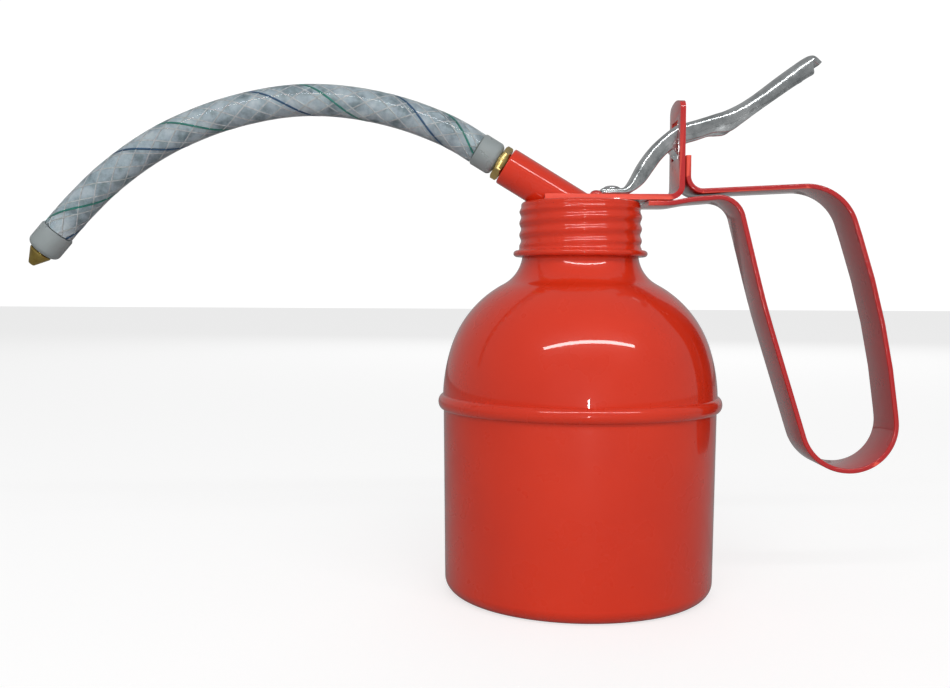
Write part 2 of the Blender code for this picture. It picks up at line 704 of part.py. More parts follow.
def make_foot_valve_body():
    """Screws into the barrel's lower end; holds the inlet seat above and the suction tube below."""
    shank = FOOT_SHANK_RADIUS
    socket = SUCTION_RADIUS + GAP
    profile = [(BALL_CHAMBER_RADIUS, FOOT_TOP), (shank, FOOT_TOP), (shank, FOOT_FLANGE_TOP),
               (BARREL_RADIUS, FOOT_FLANGE_TOP), (BARREL_RADIUS, FOOT_FLANGE_LOW),
               (shank, FOOT_FLANGE_LOW - 0.0006), (shank, FOOT_LOW), (socket, FOOT_LOW),
               (socket, FOOT_SOCKET_TOP), (INLET_RADIUS, FOOT_SOCKET_TOP), (INLET_RADIUS, VALVE_SEAT_Z - VALVE_SEAT_HEIGHT),
               (BALL_CHAMBER_RADIUS, VALVE_SEAT_Z)]
    return turned("foot_valve_body", profile, BRASS, axis=PUMP_AXIS)


def ball_rest_height():
    """Height of the closed ball's centre: it rests GAP above the seat's cone."""
    rise = VALVE_SEAT_HEIGHT
    run = BALL_CHAMBER_RADIUS - INLET_RADIUS
    slope = math.atan2(rise, run)
    apex = VALVE_SEAT_Z - BALL_CHAMBER_RADIUS * rise / run
    return apex + (VALVE_BALL_RADIUS + GAP) / math.cos(slope)


def make_inlet_ball():
    shape = bmesh.new()
    bmesh.ops.create_uvsphere(shape, u_segments=16, v_segments=10, radius=VALVE_BALL_RADIUS)
    mesh = bpy.data.meshes.new("inlet_ball")
    shape.to_mesh(mesh)
    shape.free()
    smooth(mesh)
    item = add_object("inlet_ball", mesh, STEEL)
    item.location = (0.0, 0.0, ball_rest_height())
    item.parent = PUMP_AXIS
    return item


def make_ball_retainer():
    low = FOOT_TOP + GAP
    return ring("ball_retainer", RETAINER_RADIUS, RETAINER_HOLE, low, low + RETAINER_HEIGHT, STEEL, axis=PUMP_AXIS)


def make_suction_tube():
    return ring("suction_tube", SUCTION_RADIUS, SUCTION_BORE, SUCTION_LOW, FOOT_SOCKET_TOP - GAP,
                STEEL, 16, axis=PUMP_AXIS)


def make_suction_strainer():
    """A cup over the tube's end, slotted across its floor both ways."""
    wall = SUCTION_RADIUS + GAP
    profile = [(wall, STRAINER_TOP), (STRAINER_RADIUS, STRAINER_TOP), (STRAINER_RADIUS, STRAINER_LOW + STRAINER_FLOOR),
               (STRAINER_RADIUS - STRAINER_FLOOR, STRAINER_LOW), (0.0, STRAINER_LOW),
               (0.0, STRAINER_LOW + STRAINER_FLOOR), (wall, STRAINER_LOW + STRAINER_FLOOR)]
    item = turned("suction_strainer", profile, BRASS, 16, axis=PUMP_AXIS)
    reach = STRAINER_RADIUS + CUT_OVER
    for name, turn in (("strainer_slot_a", 0), ("strainer_slot_b", 1)):
        half = (reach, STRAINER_SLOT / 2.0) if turn == 0 else (STRAINER_SLOT / 2.0, reach)
        slot = box(name, (PUMP_X - half[0], -half[1], STRAINER_LOW - CUT_OVER),
                   (PUMP_X + half[0], half[1], STRAINER_LOW + STRAINER_FLOOR + 2.0 * CUT_OVER))
        boolean(item, as_cutter(slot))
    return item


def make_pump_rod():
    """The rod with its peened round head."""
    head = [(ROD_HEAD_RADIUS * math.cos(math.radians(a)), ROD_HEAD_LOW + ROD_HEAD_HEIGHT * math.sin(math.radians(a)))
            for a in (90, 60, 35, 12, 0)]
    head[0] = (0.0, ROD_HEAD_LOW + ROD_HEAD_HEIGHT)
    profile = head + [(ROD_RADIUS, ROD_HEAD_LOW), (ROD_RADIUS, ROD_BOTTOM), (0.0, ROD_BOTTOM)]
    return turned("pump_rod", profile, BRIGHT_ZINC, 20, closed=False, axis=ROD_AXIS)


def make_piston():
    hole = ROD_RADIUS + GAP
    profile = [(hole, PISTON_TOP), (PISTON_RADIUS, PISTON_TOP), (PISTON_RADIUS, PISTON_GROOVE_HIGH),
               (PISTON_GROOVE_RADIUS, PISTON_GROOVE_HIGH), (PISTON_GROOVE_RADIUS, PISTON_GROOVE_LOW),
               (PISTON_RADIUS, PISTON_GROOVE_LOW), (PISTON_RADIUS, PISTON_LOW), (hole, PISTON_LOW)]
    item = turned("piston", profile, BRASS, axis=ROD_AXIS)
    for index in range(4):
        angle = math.radians(45.0 + 90.0 * index)
        centre = (TRANSFER_HOLE_CIRCLE * math.cos(angle), TRANSFER_HOLE_CIRCLE * math.sin(angle))
        hole_cutter = cylinder(f"transfer_hole_{index + 1}", TRANSFER_HOLE_RADIUS, PISTON_LOW - CUT_OVER,
                               PISTON_TOP + CUT_OVER, segments=8, axis=ROD_AXIS, centre=centre)
        boolean(item, as_cutter(hole_cutter))
    return item


def make_piston_seal():
    return ring("piston_seal", BARREL_BORE - 0.0002, PISTON_GROOVE_RADIUS + GAP, PISTON_GROOVE_LOW + GAP,
                PISTON_GROOVE_HIGH - GAP, LEATHER, axis=ROD_AXIS)


def make_piston_nut():
    top = PISTON_LOW - GAP
    item = cylinder("piston_nut", NUT_ACROSS_FLATS / math.sqrt(3.0), top - NUT_HEIGHT, top, STEEL, 6, ROD_AXIS)
    hole = cylinder("nut_hole", ROD_RADIUS + GAP, top - NUT_HEIGHT - CUT_OVER, top + CUT_OVER, segments=16, axis=ROD_AXIS)
    boolean(item, as_cutter(hole))
    return item


def make_transfer_flap():
    low = PISTON_TOP + GAP
    return ring("transfer_flap", FLAP_RADIUS, ROD_RADIUS + GAP, low, low + FLAP_HEIGHT, BLACK_RUBBER, axis=ROD_AXIS)


def make_flap_stop():
    low = PISTON_TOP + 2.0 * GAP + FLAP_HEIGHT + FLAP_LIFT
    return ring("flap_stop", STOP_RADIUS, ROD_RADIUS + GAP, low, low + STOP_HEIGHT, STEEL, axis=ROD_AXIS)


def make_return_spring():
    """A helix of round wire between the flap stop and the pump's head."""
    low = PISTON_TOP + 3.0 * GAP + FLAP_HEIGHT + FLAP_LIFT + STOP_HEIGHT + SPRING_WIRE
    high = CHAMBER_TOP - GAP - SPRING_WIRE
    curve = bpy.data.curves.new("return_spring", "CURVE")
    curve.dimensions = "3D"
    curve.bevel_depth = SPRING_WIRE
    curve.bevel_resolution = 1
    curve.use_fill_caps = True
    count = round(SPRING_TURNS * 14)
    spline = curve.splines.new("POLY")
    spline.points.add(count)
    for index, point in enumerate(spline.points):
        share = index / count
        angle = 2.0 * math.pi * SPRING_TURNS * share
        point.co = (SPRING_RADIUS * math.cos(angle), SPRING_RADIUS * math.sin(angle), low + (high - low) * share, 1.0)
    item = bpy.data.objects.new("return_spring", curve)
    PARTS.objects.link(item)
    curve.materials.append(make_material("return_spring", STEEL))
    item.parent = ROD_AXIS
    return item


# ---------------------------------------------------------------- spout, hose and nozzle
def make_spout_tube():
    """The tube runs through the bracket and the cap and ends on the pump's barrel."""
    profile = [(SPOUT_BORE, 0.0), (SPOUT_RADIUS - SPOUT_CHAMFER, 0.0), (SPOUT_RADIUS, -SPOUT_CHAMFER),
               (SPOUT_RADIUS, -SPOUT_LENGTH), (SPOUT_BORE, -SPOUT_LENGTH)]
    item = turned("spout_tube", profile, RED_ENAMEL, axis=SPOUT_AXIS)
    barrel = as_cutter(cylinder("barrel_cutter", BARREL_RADIUS + GAP, BARREL_CUT_LOW, BARREL_TOP + GAP, axis=PUMP_AXIS))
    trim = as_cutter(box("spout_trim_cutter", (TAIL_END_X - GAP, -TRIM_SIZE / 2.0, BARREL_CUT_LOW),
                             (TAIL_END_X + TRIM_SIZE, TRIM_SIZE / 2.0, BARREL_CUT_LOW + 2.0 * TRIM_SIZE)))
    for cutter in (barrel, trim):
        boolean(item, cutter)
    return item


def make_hose_fitting():
    """Hexagon, threaded shank in the spout tube and barb in the hose, with one through bore."""
    hex_low = GAP
    hex_high = hex_low + HEX_HEIGHT
    barb_end = hex_high + GAP + FERRULE_LENGTH
    item = cylinder("hose_fitting", HEX_ACROSS_FLATS / math.sqrt(3.0), hex_low, hex_high, BRASS, 6, SPOUT_AXIS)
    core_profile = [(0.0, barb_end), (BARB_RADIUS - BARB_TAPER, barb_end), (BARB_RADIUS, barb_end - BARB_LEAD),
                    (BARB_RADIUS, (hex_low + hex_high) / 2.0), (FITTING_SHANK_RADIUS, (hex_low + hex_high) / 2.0),
                    (FITTING_SHANK_RADIUS, -FITTING_SHANK_LENGTH), (0.0, -FITTING_SHANK_LENGTH)]
    core = as_cutter(turned("fitting_core", core_profile, None, closed=False, axis=SPOUT_AXIS))
    bore = as_cutter(cylinder("fitting_bore", BARB_BORE, -FITTING_SHANK_LENGTH - CUT_OVER, barb_end + CUT_OVER,
                              segments=16, axis=SPOUT_AXIS))
    boolean(item, core, "UNION")
    boolean(item, bore)
    return item


def ferrule_profile(radius, low, high, rounding):
    """A sleeve whose far shoulder is rounded; low is the hose's side."""
    shoulder = arc((radius - rounding, high - rounding), rounding, 90.0, 0.0, 4)
    return [(FERRULE_BORE, high)] + shoulder + [(radius, low), (FERRULE_BORE, low)]


def make_hose_ferrule_near():
    low = 2.0 * GAP + HEX_HEIGHT
    high = low + FERRULE_LENGTH
    rounding = FERRULE_ROUNDING
    foot = arc((FERRULE_RADIUS - rounding, low + rounding), rounding, 0.0, -90.0, 4)
    profile = [(FERRULE_BORE, high), (FERRULE_RADIUS - 0.0003, high), (FERRULE_RADIUS, high - 0.0005)]
    profile += foot + [(FERRULE_BORE, low)]
    return turned("hose_ferrule_near", profile, CLEAR_NYLON, axis=SPOUT_AXIS)


def make_hose():
    curve = bpy.data.curves.new("hose", "CURVE")
    curve.dimensions = "3D"
    curve.bevel_depth = HOSE_RADIUS
    curve.bevel_resolution = 4
    curve.use_fill_caps = True
    route = smooth_route(HOSE_ROUTE, HOSE_STEPS_PER_SPAN)
    spline = curve.splines.new("POLY")
    spline.points.add(len(route) - 1)
    for point, place in zip(spline.points, route):
        point.co = (place.x, 0.0, place.y, 1.0)
    item = bpy.data.objects.new("hose", curve)
    PARTS.objects.link(item)
    curve.materials.append(make_material("hose", CLEAR_PVC))
    hold(item, CAP_AXIS)
    return item


def make_hose_ferrule_tip():
    low = GAP
    high = low + TIP_FERRULE_LENGTH
    profile = ferrule_profile(TIP_FERRULE_RADIUS, low, high, TIP_FERRULE_ROUNDING)
    return turned("hose_ferrule_tip", profile, CLEAR_NYLON, axis=NOZZLE_AXIS)


def make_nozzle():
    """The brass cone, its barb inside the ferrule and its fine bore."""
    cone_low = 2.0 * GAP + TIP_FERRULE_LENGTH
    cone_high = cone_low + NOZZLE_LENGTH
    barb_low = GAP
    profile = [(NOZZLE_BORE, cone_high), (NOZZLE_TIP_RADIUS, cone_high), (NOZZLE_BASE_RADIUS, cone_low + 0.0012),
               (NOZZLE_BASE_RADIUS, cone_low), (BARB_RADIUS, cone_low), (BARB_RADIUS, barb_low + BARB_LEAD),
               (BARB_RADIUS - BARB_TAPER, barb_low), (NOZZLE_BORE, barb_low)]
    return turned("nozzle", profile, BRASS, axis=NOZZLE_AXIS)


# ---------------------------------------------------------------- lever
def lever_section(half_width, depth):
    """The pressed channel's outline, open below: (across, up) pairs, round the outside then the inside."""
    corner = LEVER_CORNER
    flat = LEVER_CORNER * 0.3
    wall = LEVER_SHEET
    outside = [(-half_width, -depth), (-half_width, -corner), (-half_width + flat, -flat), (-half_width + corner, 0.0)]
    outside += [(-across, up) for across, up in outside[::-1]]
    inner = half_width - wall
    inside = [(inner, -depth), (inner, -wall - flat), (inner - flat, -wall)]
    inside += [(-across, up) for across, up in inside[::-1]]
    return outside + inside


def make_lever():
    """A channel lofted along the lever's stations, with its fulcrum ears and the rod's slotted hole."""
    shape = bmesh.new()
    rows = []
    for x, z, heading, half_width, depth in LEVER_STATIONS:
        angle = math.radians(heading)
        up = Vector((-math.sin(angle), 0.0, math.cos(angle)))
        centre = Vector((x, 0.0, z))
        rows.append([shape.verts.new(centre + Vector((0.0, across, 0.0)) + up * rise)
                     for across, rise in lever_section(half_width, max(depth, LEVER_CORNER + 0.0003))])
    count = len(rows[0])
    for first, second in zip(rows, rows[1:]):
        for index in range(count):
            after = (index + 1) % count
            shape.faces.new((first[index], first[after], second[after], second[index]))
    # The two end faces are channel outlines, which only triangulate cleanly as whole faces.
    for row in (rows[0], rows[-1]):
        shape.faces.new(row)
    bmesh.ops.triangulate(shape, faces=[face for face in shape.faces if len(face.verts) > 4])
    bmesh.ops.recalc_face_normals(shape, faces=shape.faces)
    mesh = bpy.data.meshes.new("lever")
    shape.to_mesh(mesh)
    shape.free()
    smooth(mesh, 50.0)
    item = add_object("lever", mesh, BRIGHT_ZINC)
    ear_outline = [EAR_FRONT, EAR_TOE, EAR_HEEL, EAR_BACK, EAR_FRONT_TOP]
    for side, name in ((-1, "ear_near"), (1, "ear_far")):
        middle = side * (LEVER_HALF_WIDTH - LEVER_SHEET / 2.0)
        boolean(item, as_cutter(plate_xz(name, ear_outline, middle, EAR_SHEET)), "UNION")
    boolean(item, as_cutter(rod_hole_cutter()))
    hold(item, LEVER_AXIS)
    return item


def plate_xz(name, outline, middle, thickness):
    """A flat plate with its outline in the XZ plane, centred on y = middle."""
    shape = bmesh.new()
    near = [shape.verts.new((x, middle - thickness / 2.0, z)) for x, z in outline]
    face = shape.faces.new(near)
    swept = bmesh.ops.extrude_face_region(shape, geom=[face])["geom"]
    moved = [part for part in swept if isinstance(part, bmesh.types.BMVert)]
    bmesh.ops.translate(shape, verts=moved, vec=(0.0, thickness, 0.0))
    bmesh.ops.recalc_face_normals(shape, faces=shape.faces)
    mesh = bpy.data.meshes.new(name)
    shape.to_mesh(mesh)
    shape.free()
    return add_object(name, mesh, None)


def rod_hole_cutter():
    """A slot with round ends, because the lever's arm swings while the rod runs straight."""
    radius = LEVER_HOLE_HALF_WIDTH
    front = LEVER_HOLE_FRONT + radius
    rear = LEVER_HOLE_REAR - radius
    outline = arc((front, 0.0), radius, 90.0, 270.0, 8) + arc((rear, 0.0), radius, -90.0, 90.0, 8)
    shape = bmesh.new()
    low = ROD_HEAD_LOW - 2.0 * ROD_HOLE_CUT / 3.0
    face = shape.faces.new([shape.verts.new((x, y, low)) for x, y in outline])
    swept = bmesh.ops.extrude_face_region(shape, geom=[face])["geom"]
    moved = [part for part in swept if isinstance(part, bmesh.types.BMVert)]
    bmesh.ops.translate(shape, verts=moved, vec=(0.0, 0.0, ROD_HOLE_CUT))
    bmesh.ops.recalc_face_normals(shape, faces=shape.faces)
    mesh = bpy.data.meshes.new("rod_hole")
    shape.to_mesh(mesh)
    shape.free()
    return add_object("rod_hole", mesh, None)


# ---------------------------------------------------------------- assembly
clear_scene()
PARTS = new_collection("oil_can")
CUTTERS = new_collection("oil_can_cutters", visible=False)

CAP_AXIS = make_axis("cap_axis", (0.0, 0.0, CAP_LOW))
LEVER_AXIS = make_axis("lever_axis", LEVER_PIVOT)
PUMP_AXIS = make_axis("pump_axis", (PUMP_X, 0.0, 0.0))
ROD_AXIS = make_axis("rod_axis", (PUMP_X, 0.0, 0.0))
SPOUT_AXIS = make_axis("spout_axis", SPOUT_END, SPOUT_TILT - math.pi / 2.0)
NOZZLE_AXIS = make_axis("nozzle_axis", (HOSE_ROUTE[-1][0], 0.0, HOSE_ROUTE[-1][1]),
                        math.atan2(TIP_DIRECTION.x, TIP_DIRECTION.z))

SPOUT_TAIL = as_cutter(box("spout_tail_cutter", (TAIL_END_X, -TRIM_SIZE / 2.0, BARREL_CUT_LOW),
                            (TAIL_END_X + TRIM_SIZE, TRIM_SIZE / 2.0, BARREL_CUT_LOW + 2.0 * TRIM_SIZE)))
SPOUT_CUTTER = as_cutter(cylinder("spout_hole", SPOUT_RADIUS + GAP, -SPOUT_LENGTH, 2.0 * CUT_OVER, axis=SPOUT_AXIS))
boolean(SPOUT_CUTTER, SPOUT_TAIL)
GLAND_CUTTER = as_cutter(cylinder("gland_hole", GLAND_SHANK_RADIUS + GAP, TOP_CUT_LOW, TOP_CUT_HIGH, axis=PUMP_AXIS))
RIVET_CUTTERS = [as_cutter(cylinder(f"rivet_hole_{index}", RIVET_SHANK_RADIUS + GAP, TOP_CUT_LOW, TOP_CUT_HIGH,
                                    segments=12, centre=(RIVET_X, side * RIVET_Y)))
                 for index, side in enumerate((-1, 1), start=1)]

make_lower_body()
make_upper_body()
make_cap_gasket()
make_cap()
make_bracket()
make_handle_strap()
make_bracket_rivet("bracket_rivet_near", -1)
make_bracket_rivet("bracket_rivet_far", 1)
make_rod_gland()
make_rod_packing()
make_pump_cylinder()
make_foot_valve_body()
make_inlet_ball()
make_ball_retainer()
make_suction_tube()
make_suction_strainer()
make_pump_rod()
make_piston()
make_piston_seal()
make_piston_nut()
make_transfer_flap()
make_flap_stop()
make_return_spring()
make_spout_tube()
make_hose_fitting()
make_hose_ferrule_near()
make_hose()
make_hose_ferrule_tip()
make_nozzle()
make_lever()
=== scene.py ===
"""Pump oil can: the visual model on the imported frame.

Every piece is in metres in the part's own frame: the origin is on the can's axis at its base, the
handle points to +X and the spout to -X.
"""
import math

import bmesh
import bpy
from mathutils import Matrix, Vector


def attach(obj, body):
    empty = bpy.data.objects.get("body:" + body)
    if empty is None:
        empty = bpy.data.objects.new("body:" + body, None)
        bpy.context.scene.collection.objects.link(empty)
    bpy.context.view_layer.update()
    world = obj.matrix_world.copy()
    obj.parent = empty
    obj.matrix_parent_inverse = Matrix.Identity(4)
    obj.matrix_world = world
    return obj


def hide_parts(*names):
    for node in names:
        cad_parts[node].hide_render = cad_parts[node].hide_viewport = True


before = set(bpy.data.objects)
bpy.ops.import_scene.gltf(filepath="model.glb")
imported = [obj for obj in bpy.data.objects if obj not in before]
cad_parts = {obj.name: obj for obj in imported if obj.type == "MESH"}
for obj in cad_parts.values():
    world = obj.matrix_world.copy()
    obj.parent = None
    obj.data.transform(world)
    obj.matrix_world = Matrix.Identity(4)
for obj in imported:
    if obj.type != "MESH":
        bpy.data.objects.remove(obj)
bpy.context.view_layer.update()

# ---------------------------------------------------------------- dimensions shared with the part
SHEET = 0.0007
BODY_RADIUS = 0.0476
BASE_RADIUS = 0.0469
BASE_CORNER = 0.0050
BASE_THICKNESS = 0.0008
CUP_TOP = 0.0668
BEAD_LOW = 0.0641
BEAD_MIDDLE = 0.0665
BEAD_RADIUS = 0.0495
BEAD_HALF_HEIGHT = 0.0026
DOME_RADIUS = 0.0479
DOME_START = 0.0674
DOME_LOWER_ARC = 0.0600
DOME_LOWER_ANGLE = math.radians(18.0)
DOME_UPPER_ARC = 0.0380
NECK_RADIUS = 0.0202
NECK_FILLET = 0.0125
NECK_TOP = 0.1340

THREAD_PITCH = 0.0041
THREAD_DEPTH = 0.0006
THREAD_PHASE = 0.1228
THREAD_LOW = 0.1198
THREAD_HIGH = 0.1345
THREAD_FADE = 0.0014
NECK_THREAD_RADIUS = 0.01975
CAP_THREAD_RADIUS = 0.0208
CAP_TOP = 0.1363
CAP_LOW = 0.1172
CAP_LIP_RADIUS = 0.0234
CAP_CORNER = 0.0012

BRACKET_THICKNESS = 0.0019
BRACKET_WIDTH = 0.0200
PLATE_LOW = 0.1366
PLATE_TOP = PLATE_LOW + BRACKET_THICKNESS
PLATE_FRONT = -0.0131
UPRIGHT_X = 0.0336
UPRIGHT_TOP = 0.1714
UPRIGHT_BEND = 0.0040
CROWN_RADIUS = 0.0300
CROWN_CORNER = 0.0030
SLOT_WIDTH = 0.0120
SLOT_LOW = 0.1510
SLOT_HIGH = 0.1643

STRAP_THICKNESS = 0.0017
STRAP_WIDTH = 0.0200
STRAP_START = (0.0358, 0.1517)
STRAP_CORNERS = [
    (0.0358, 0.1394, 0.0051),
    (0.0887, 0.1421, 0.0175),
    (0.1048, 0.0948, 0.2900),
    (0.1107, 0.0422, 0.0158),
    (0.0802, 0.0446, 0.0164),
    (0.0626, 0.1001, 0.3000),
    (0.0528, 0.1381, 0.0085),
    (0.0370, 0.13675, 0.0200),
    (0.0305, 0.1355, 0.0200),
]
STRAP_END = (0.0223, 0.13545)

RIVET_X = 0.0046
RIVET_Y = 0.0076
PUMP_X = 0.0108
ROD_RADIUS = 0.0013
ROD_HEAD_RADIUS = 0.0029
ROD_HEAD_LOW = 0.1412
ROD_HEAD_HEIGHT = 0.0010
ROD_BOTTOM = 0.1030

SPOUT_END = Vector((-0.02635, 0.0, 0.1489))
SPOUT_TILT = math.radians(31.3)
SPOUT_RADIUS = 0.00675
SPOUT_BORE = 0.0046
SPOUT_LENGTH = 0.0420
GAP = 0.0003
HEX_ACROSS_FLATS = 0.0110
HEX_HEIGHT = 0.0027
FERRULE_RADIUS = 0.0059
FERRULE_LENGTH = 0.0080
BARB_RADIUS = 0.0032
FERRULE_BORE = BARB_RADIUS + GAP

HOSE_RADIUS = 0.0055
HOSE_OFFSET = 3.0 * GAP + HEX_HEIGHT + FERRULE_LENGTH
HOSE_ROUTE = [
    (SPOUT_END.x - HOSE_OFFSET * math.cos(SPOUT_TILT), SPOUT_END.z + HOSE_OFFSET * math.sin(SPOUT_TILT)),
    (-0.0421, 0.1585),
    (-0.0490, 0.1619),
    (-0.0600, 0.1660),
    (-0.0711, 0.1689),
    (-0.0824, 0.1707),
    (-0.0937, 0.1713),
    (-0.1050, 0.1705),
    (-0.1160, 0.1684),
    (-0.1255, 0.1658),
    (-0.1344, 0.1625),
    (-0.1444, 0.1579),
    (-0.1548, 0.1516),
    (-0.1656, 0.1433),
    (-0.1744, 0.1348),
    (-0.1800, 0.1287),
    (-0.1827, 0.1255),
]
TIP_DIRECTION = Vector((-0.650, 0.0, -0.760)).normalized()
TIP_FERRULE_RADIUS = 0.0061
TIP_FERRULE_LENGTH = 0.0090
NOZZLE_BASE_RADIUS = 0.0040
NOZZLE_TIP_RADIUS = 0.00125
NOZZLE_LENGTH = 0.0056
NOZZLE_BORE = 0.0006

LEVER_SHEET = 0.0011
LEVER_HALF_WIDTH = 0.0055
THUMB_HALF_WIDTH = 0.0070
# Stations along the lever's top face: x, z, heading in degrees, half width, flange depth, corner radius.
LEVER_STATIONS = [
    (0.0070, 0.1409, 0, LEVER_HALF_WIDTH, 0.0019, 0.0010),
    (0.0132, 0.1409, 4, LEVER_HALF_WIDTH, 0.0019, 0.0010),
    (0.0150, 0.1415, 35, LEVER_HALF_WIDTH, 0.0026, 0.0014),
    (0.0163, 0.1429, 55, LEVER_HALF_WIDTH, 0.0036, 0.0017),
    (0.0178, 0.1455, 60, LEVER_HALF_WIDTH, 0.0046, 0.0019),
    (0.0199, 0.1495, 60, LEVER_HALF_WIDTH, 0.0052, 0.0019),
    (0.0226, 0.1535, 53, LEVER_HALF_WIDTH, 0.0053, 0.0019),
    (0.0251, 0.1565, 47, LEVER_HALF_WIDTH, 0.0055, 0.0019),
    (0.0275, 0.1588, 42, LEVER_HALF_WIDTH, 0.0058, 0.0019),
    (0.0299, 0.1608, 38, LEVER_HALF_WIDTH, 0.0060, 0.0019),
    (0.0330, 0.1628, 24, LEVER_HALF_WIDTH, 0.0062, 0.0019),
    (0.0360, 0.1636, 16, LEVER_HALF_WIDTH, 0.0062, 0.0019),
    (0.0398, 0.1647, 17, LEVER_HALF_WIDTH, 0.0062, 0.0020),
    (0.0433, 0.1658, 17, LEVER_HALF_WIDTH, 0.0061, 0.0021),
    (0.0460, 0.1667, 18, 0.0056, 0.0069, 0.0023),
    (0.0486, 0.1675, 21, 0.0058, 0.0073, 0.0025),
    (0.0520, 0.1690, 26, 0.0062, 0.0064, 0.0028),
    (0.0551, 0.1707, 32, 0.0066, 0.0058, 0.0030),
    (0.0590, 0.1733, 36, THUMB_HALF_WIDTH, 0.0056, 0.0031),
    (0.0628, 0.1761, 37, THUMB_HALF_WIDTH, 0.0057, 0.0032),
    (0.0676, 0.1798, 37, THUMB_HALF_WIDTH, 0.0060, 0.0032),
    (0.0725, 0.1834, 36, THUMB_HALF_WIDTH, 0.0063, 0.0031),
    (0.0758, 0.1856, 28, THUMB_HALF_WIDTH, 0.0063, 0.0029),
    (0.0778, 0.1864, 8, THUMB_HALF_WIDTH, 0.0036, 0.0024),
    (0.0795, 0.1861, -25, 0.0067, 0.0021, 0.0016),
    (0.0818, 0.1843, -42, 0.0060, 0.0017, 0.0012),
]
LEVER_HOLE_FRONT = 0.0091
LEVER_HOLE_REAR = 0.0149
EAR_OUTLINE = [(0.0307, 0.1550), (0.0333, 0.15145), (0.0344, 0.15145), (0.0344, 0.1590), (0.0290, 0.1570)]

# ---------------------------------------------------------------- visual detail
BODY_SEGMENTS = 192
SMALL_SEGMENTS = 64
THREAD_STEP = 0.0003
SHEET_EDGE = 0.00045          # rounding of the strap's and bracket's sheared edges
BRAID_STARTS = 6
BRAID_PITCH = 0.0500
BRAID_RADIUS = 0.0052
BRAID_THREAD = 0.00024
HOSE_CORE_RADIUS = 0.0049
PHOTO_WIDTH = 950
FOCAL_PIXELS = 1079.2
SENSOR_WIDTH = 36.0
AMBIENT = 0.34                # the grey room that lights and is mirrored in the paint
BACKDROP = 1.05               # the plain pale backdrop
FLOOR_GLOW = 0.68             # seen straight on only, so that it doesn't wash out the paint


# ---------------------------------------------------------------- edges, cuts and small fittings
CUT_OVER = 0.0010             # how far a cutter runs past what it cuts
HOLE_CLEARANCE = 0.0001
TOP_CUT_LOW = 0.13
TOP_CUT_HIGH = 0.14
GLAND_HOLE_RADIUS = 0.0027
RIVET_HOLE_RADIUS = 0.0014
CAP_SPOUT_CUT = (-0.033, -0.005)      # along the spout's own axis, back from its mouth
BRACKET_SPOUT_CUT = (-0.036, 0.0)
CUP_FLARE = 0.0006
CUP_FLARE_HEIGHT = 0.0014
CUP_WALL_TOP = BEAD_LOW - 0.002
SPARE_WIDTH = 0.001           # the bracket's sheet is made too large and then trimmed
SPARE_HEIGHT = 0.002
CROWN_REACH = 0.06
SLOT_CUT_HALF = 0.003
RIVET_HEAD_RADIUS = 0.0021
RIVET_HEAD_HEIGHT = 0.0013
RIVET_SHANK_RADIUS = 0.0011
RIVET_TAIL_RADIUS = 0.0018
RIVET_TAIL_HEIGHT = 0.0006
LEVER_LIP = 0.00035
EAR_THINNING = 0.0002
PUMP_OUTER_RADIUS = 0.00725
BARREL_CUT_LOW = 0.100
BARREL_CUT_HIGH = 0.1355
TRIM_FRONT = 0.0040           # in front of the pump's axis
TRIM_REAR = 0.040
TRIM_HALF_WIDTH = 0.015
TRIM_HIGH = 0.150
HEX_CHAMFER = 0.0008
HEX_CHAMFER_OUT = 0.0003
HEX_CHAMFER_HEIGHT = 0.0006
BARB_TAPER = 0.0006
BARB_LEAD = 0.0015
SHANK_TOP = 0.0015
SHANK_END = -0.008
PASSAGE_RADIUS = 0.0020
PASSAGE_START = -0.009
FERRULE_ROUNDING = 0.0018
TIP_FERRULE_ROUNDING = 0.0022
TRACER_BLUE_START = 0.35
TRACER_GREEN_START = 2.6
CAMERA_LOCATION = (-0.0367, -0.3796, 0.1052)
CAMERA_PITCH = 2.82           # degrees down
CAMERA_ROLL = 0.29            # degrees


# ---------------------------------------------------------------- mesh helpers
def link_mesh(name, mesh, material=None):
    item = bpy.data.objects.new(name, mesh)
    bpy.context.scene.collection.objects.link(item)
    if material:
        mesh.materials.append(material)
    return item


def smooth(mesh, angle=40.0):
    mesh.shade_smooth()
    mesh.set_sharp_from_angle(angle=math.radians(angle))


def finish_mesh(name, shape, material, angle=40.0):
    bmesh.ops.recalc_face_normals(shape, faces=shape.faces)
    mesh = bpy.data.meshes.new(name)
    shape.to_mesh(mesh)
    shape.free()
    smooth(mesh, angle)
    return link_mesh(name, mesh, material)


def apply_modifiers(item, angle=40.0):
    bpy.context.view_layer.update()
    graph = bpy.context.evaluated_depsgraph_get()
    mesh = bpy.data.meshes.new_from_object(item.evaluated_get(graph))
    item.modifiers.clear()
    item.data = mesh
    smooth(mesh, angle)


def place(item, matrix):
    """Puts a piece modelled in its own frame where it belongs, in its vertices."""
    item.data.transform(matrix)
    return item


def axis_matrix(location, tilt=0.0):
    return Matrix.Translation(location) @ Matrix.Rotation(tilt, 4, "Y")


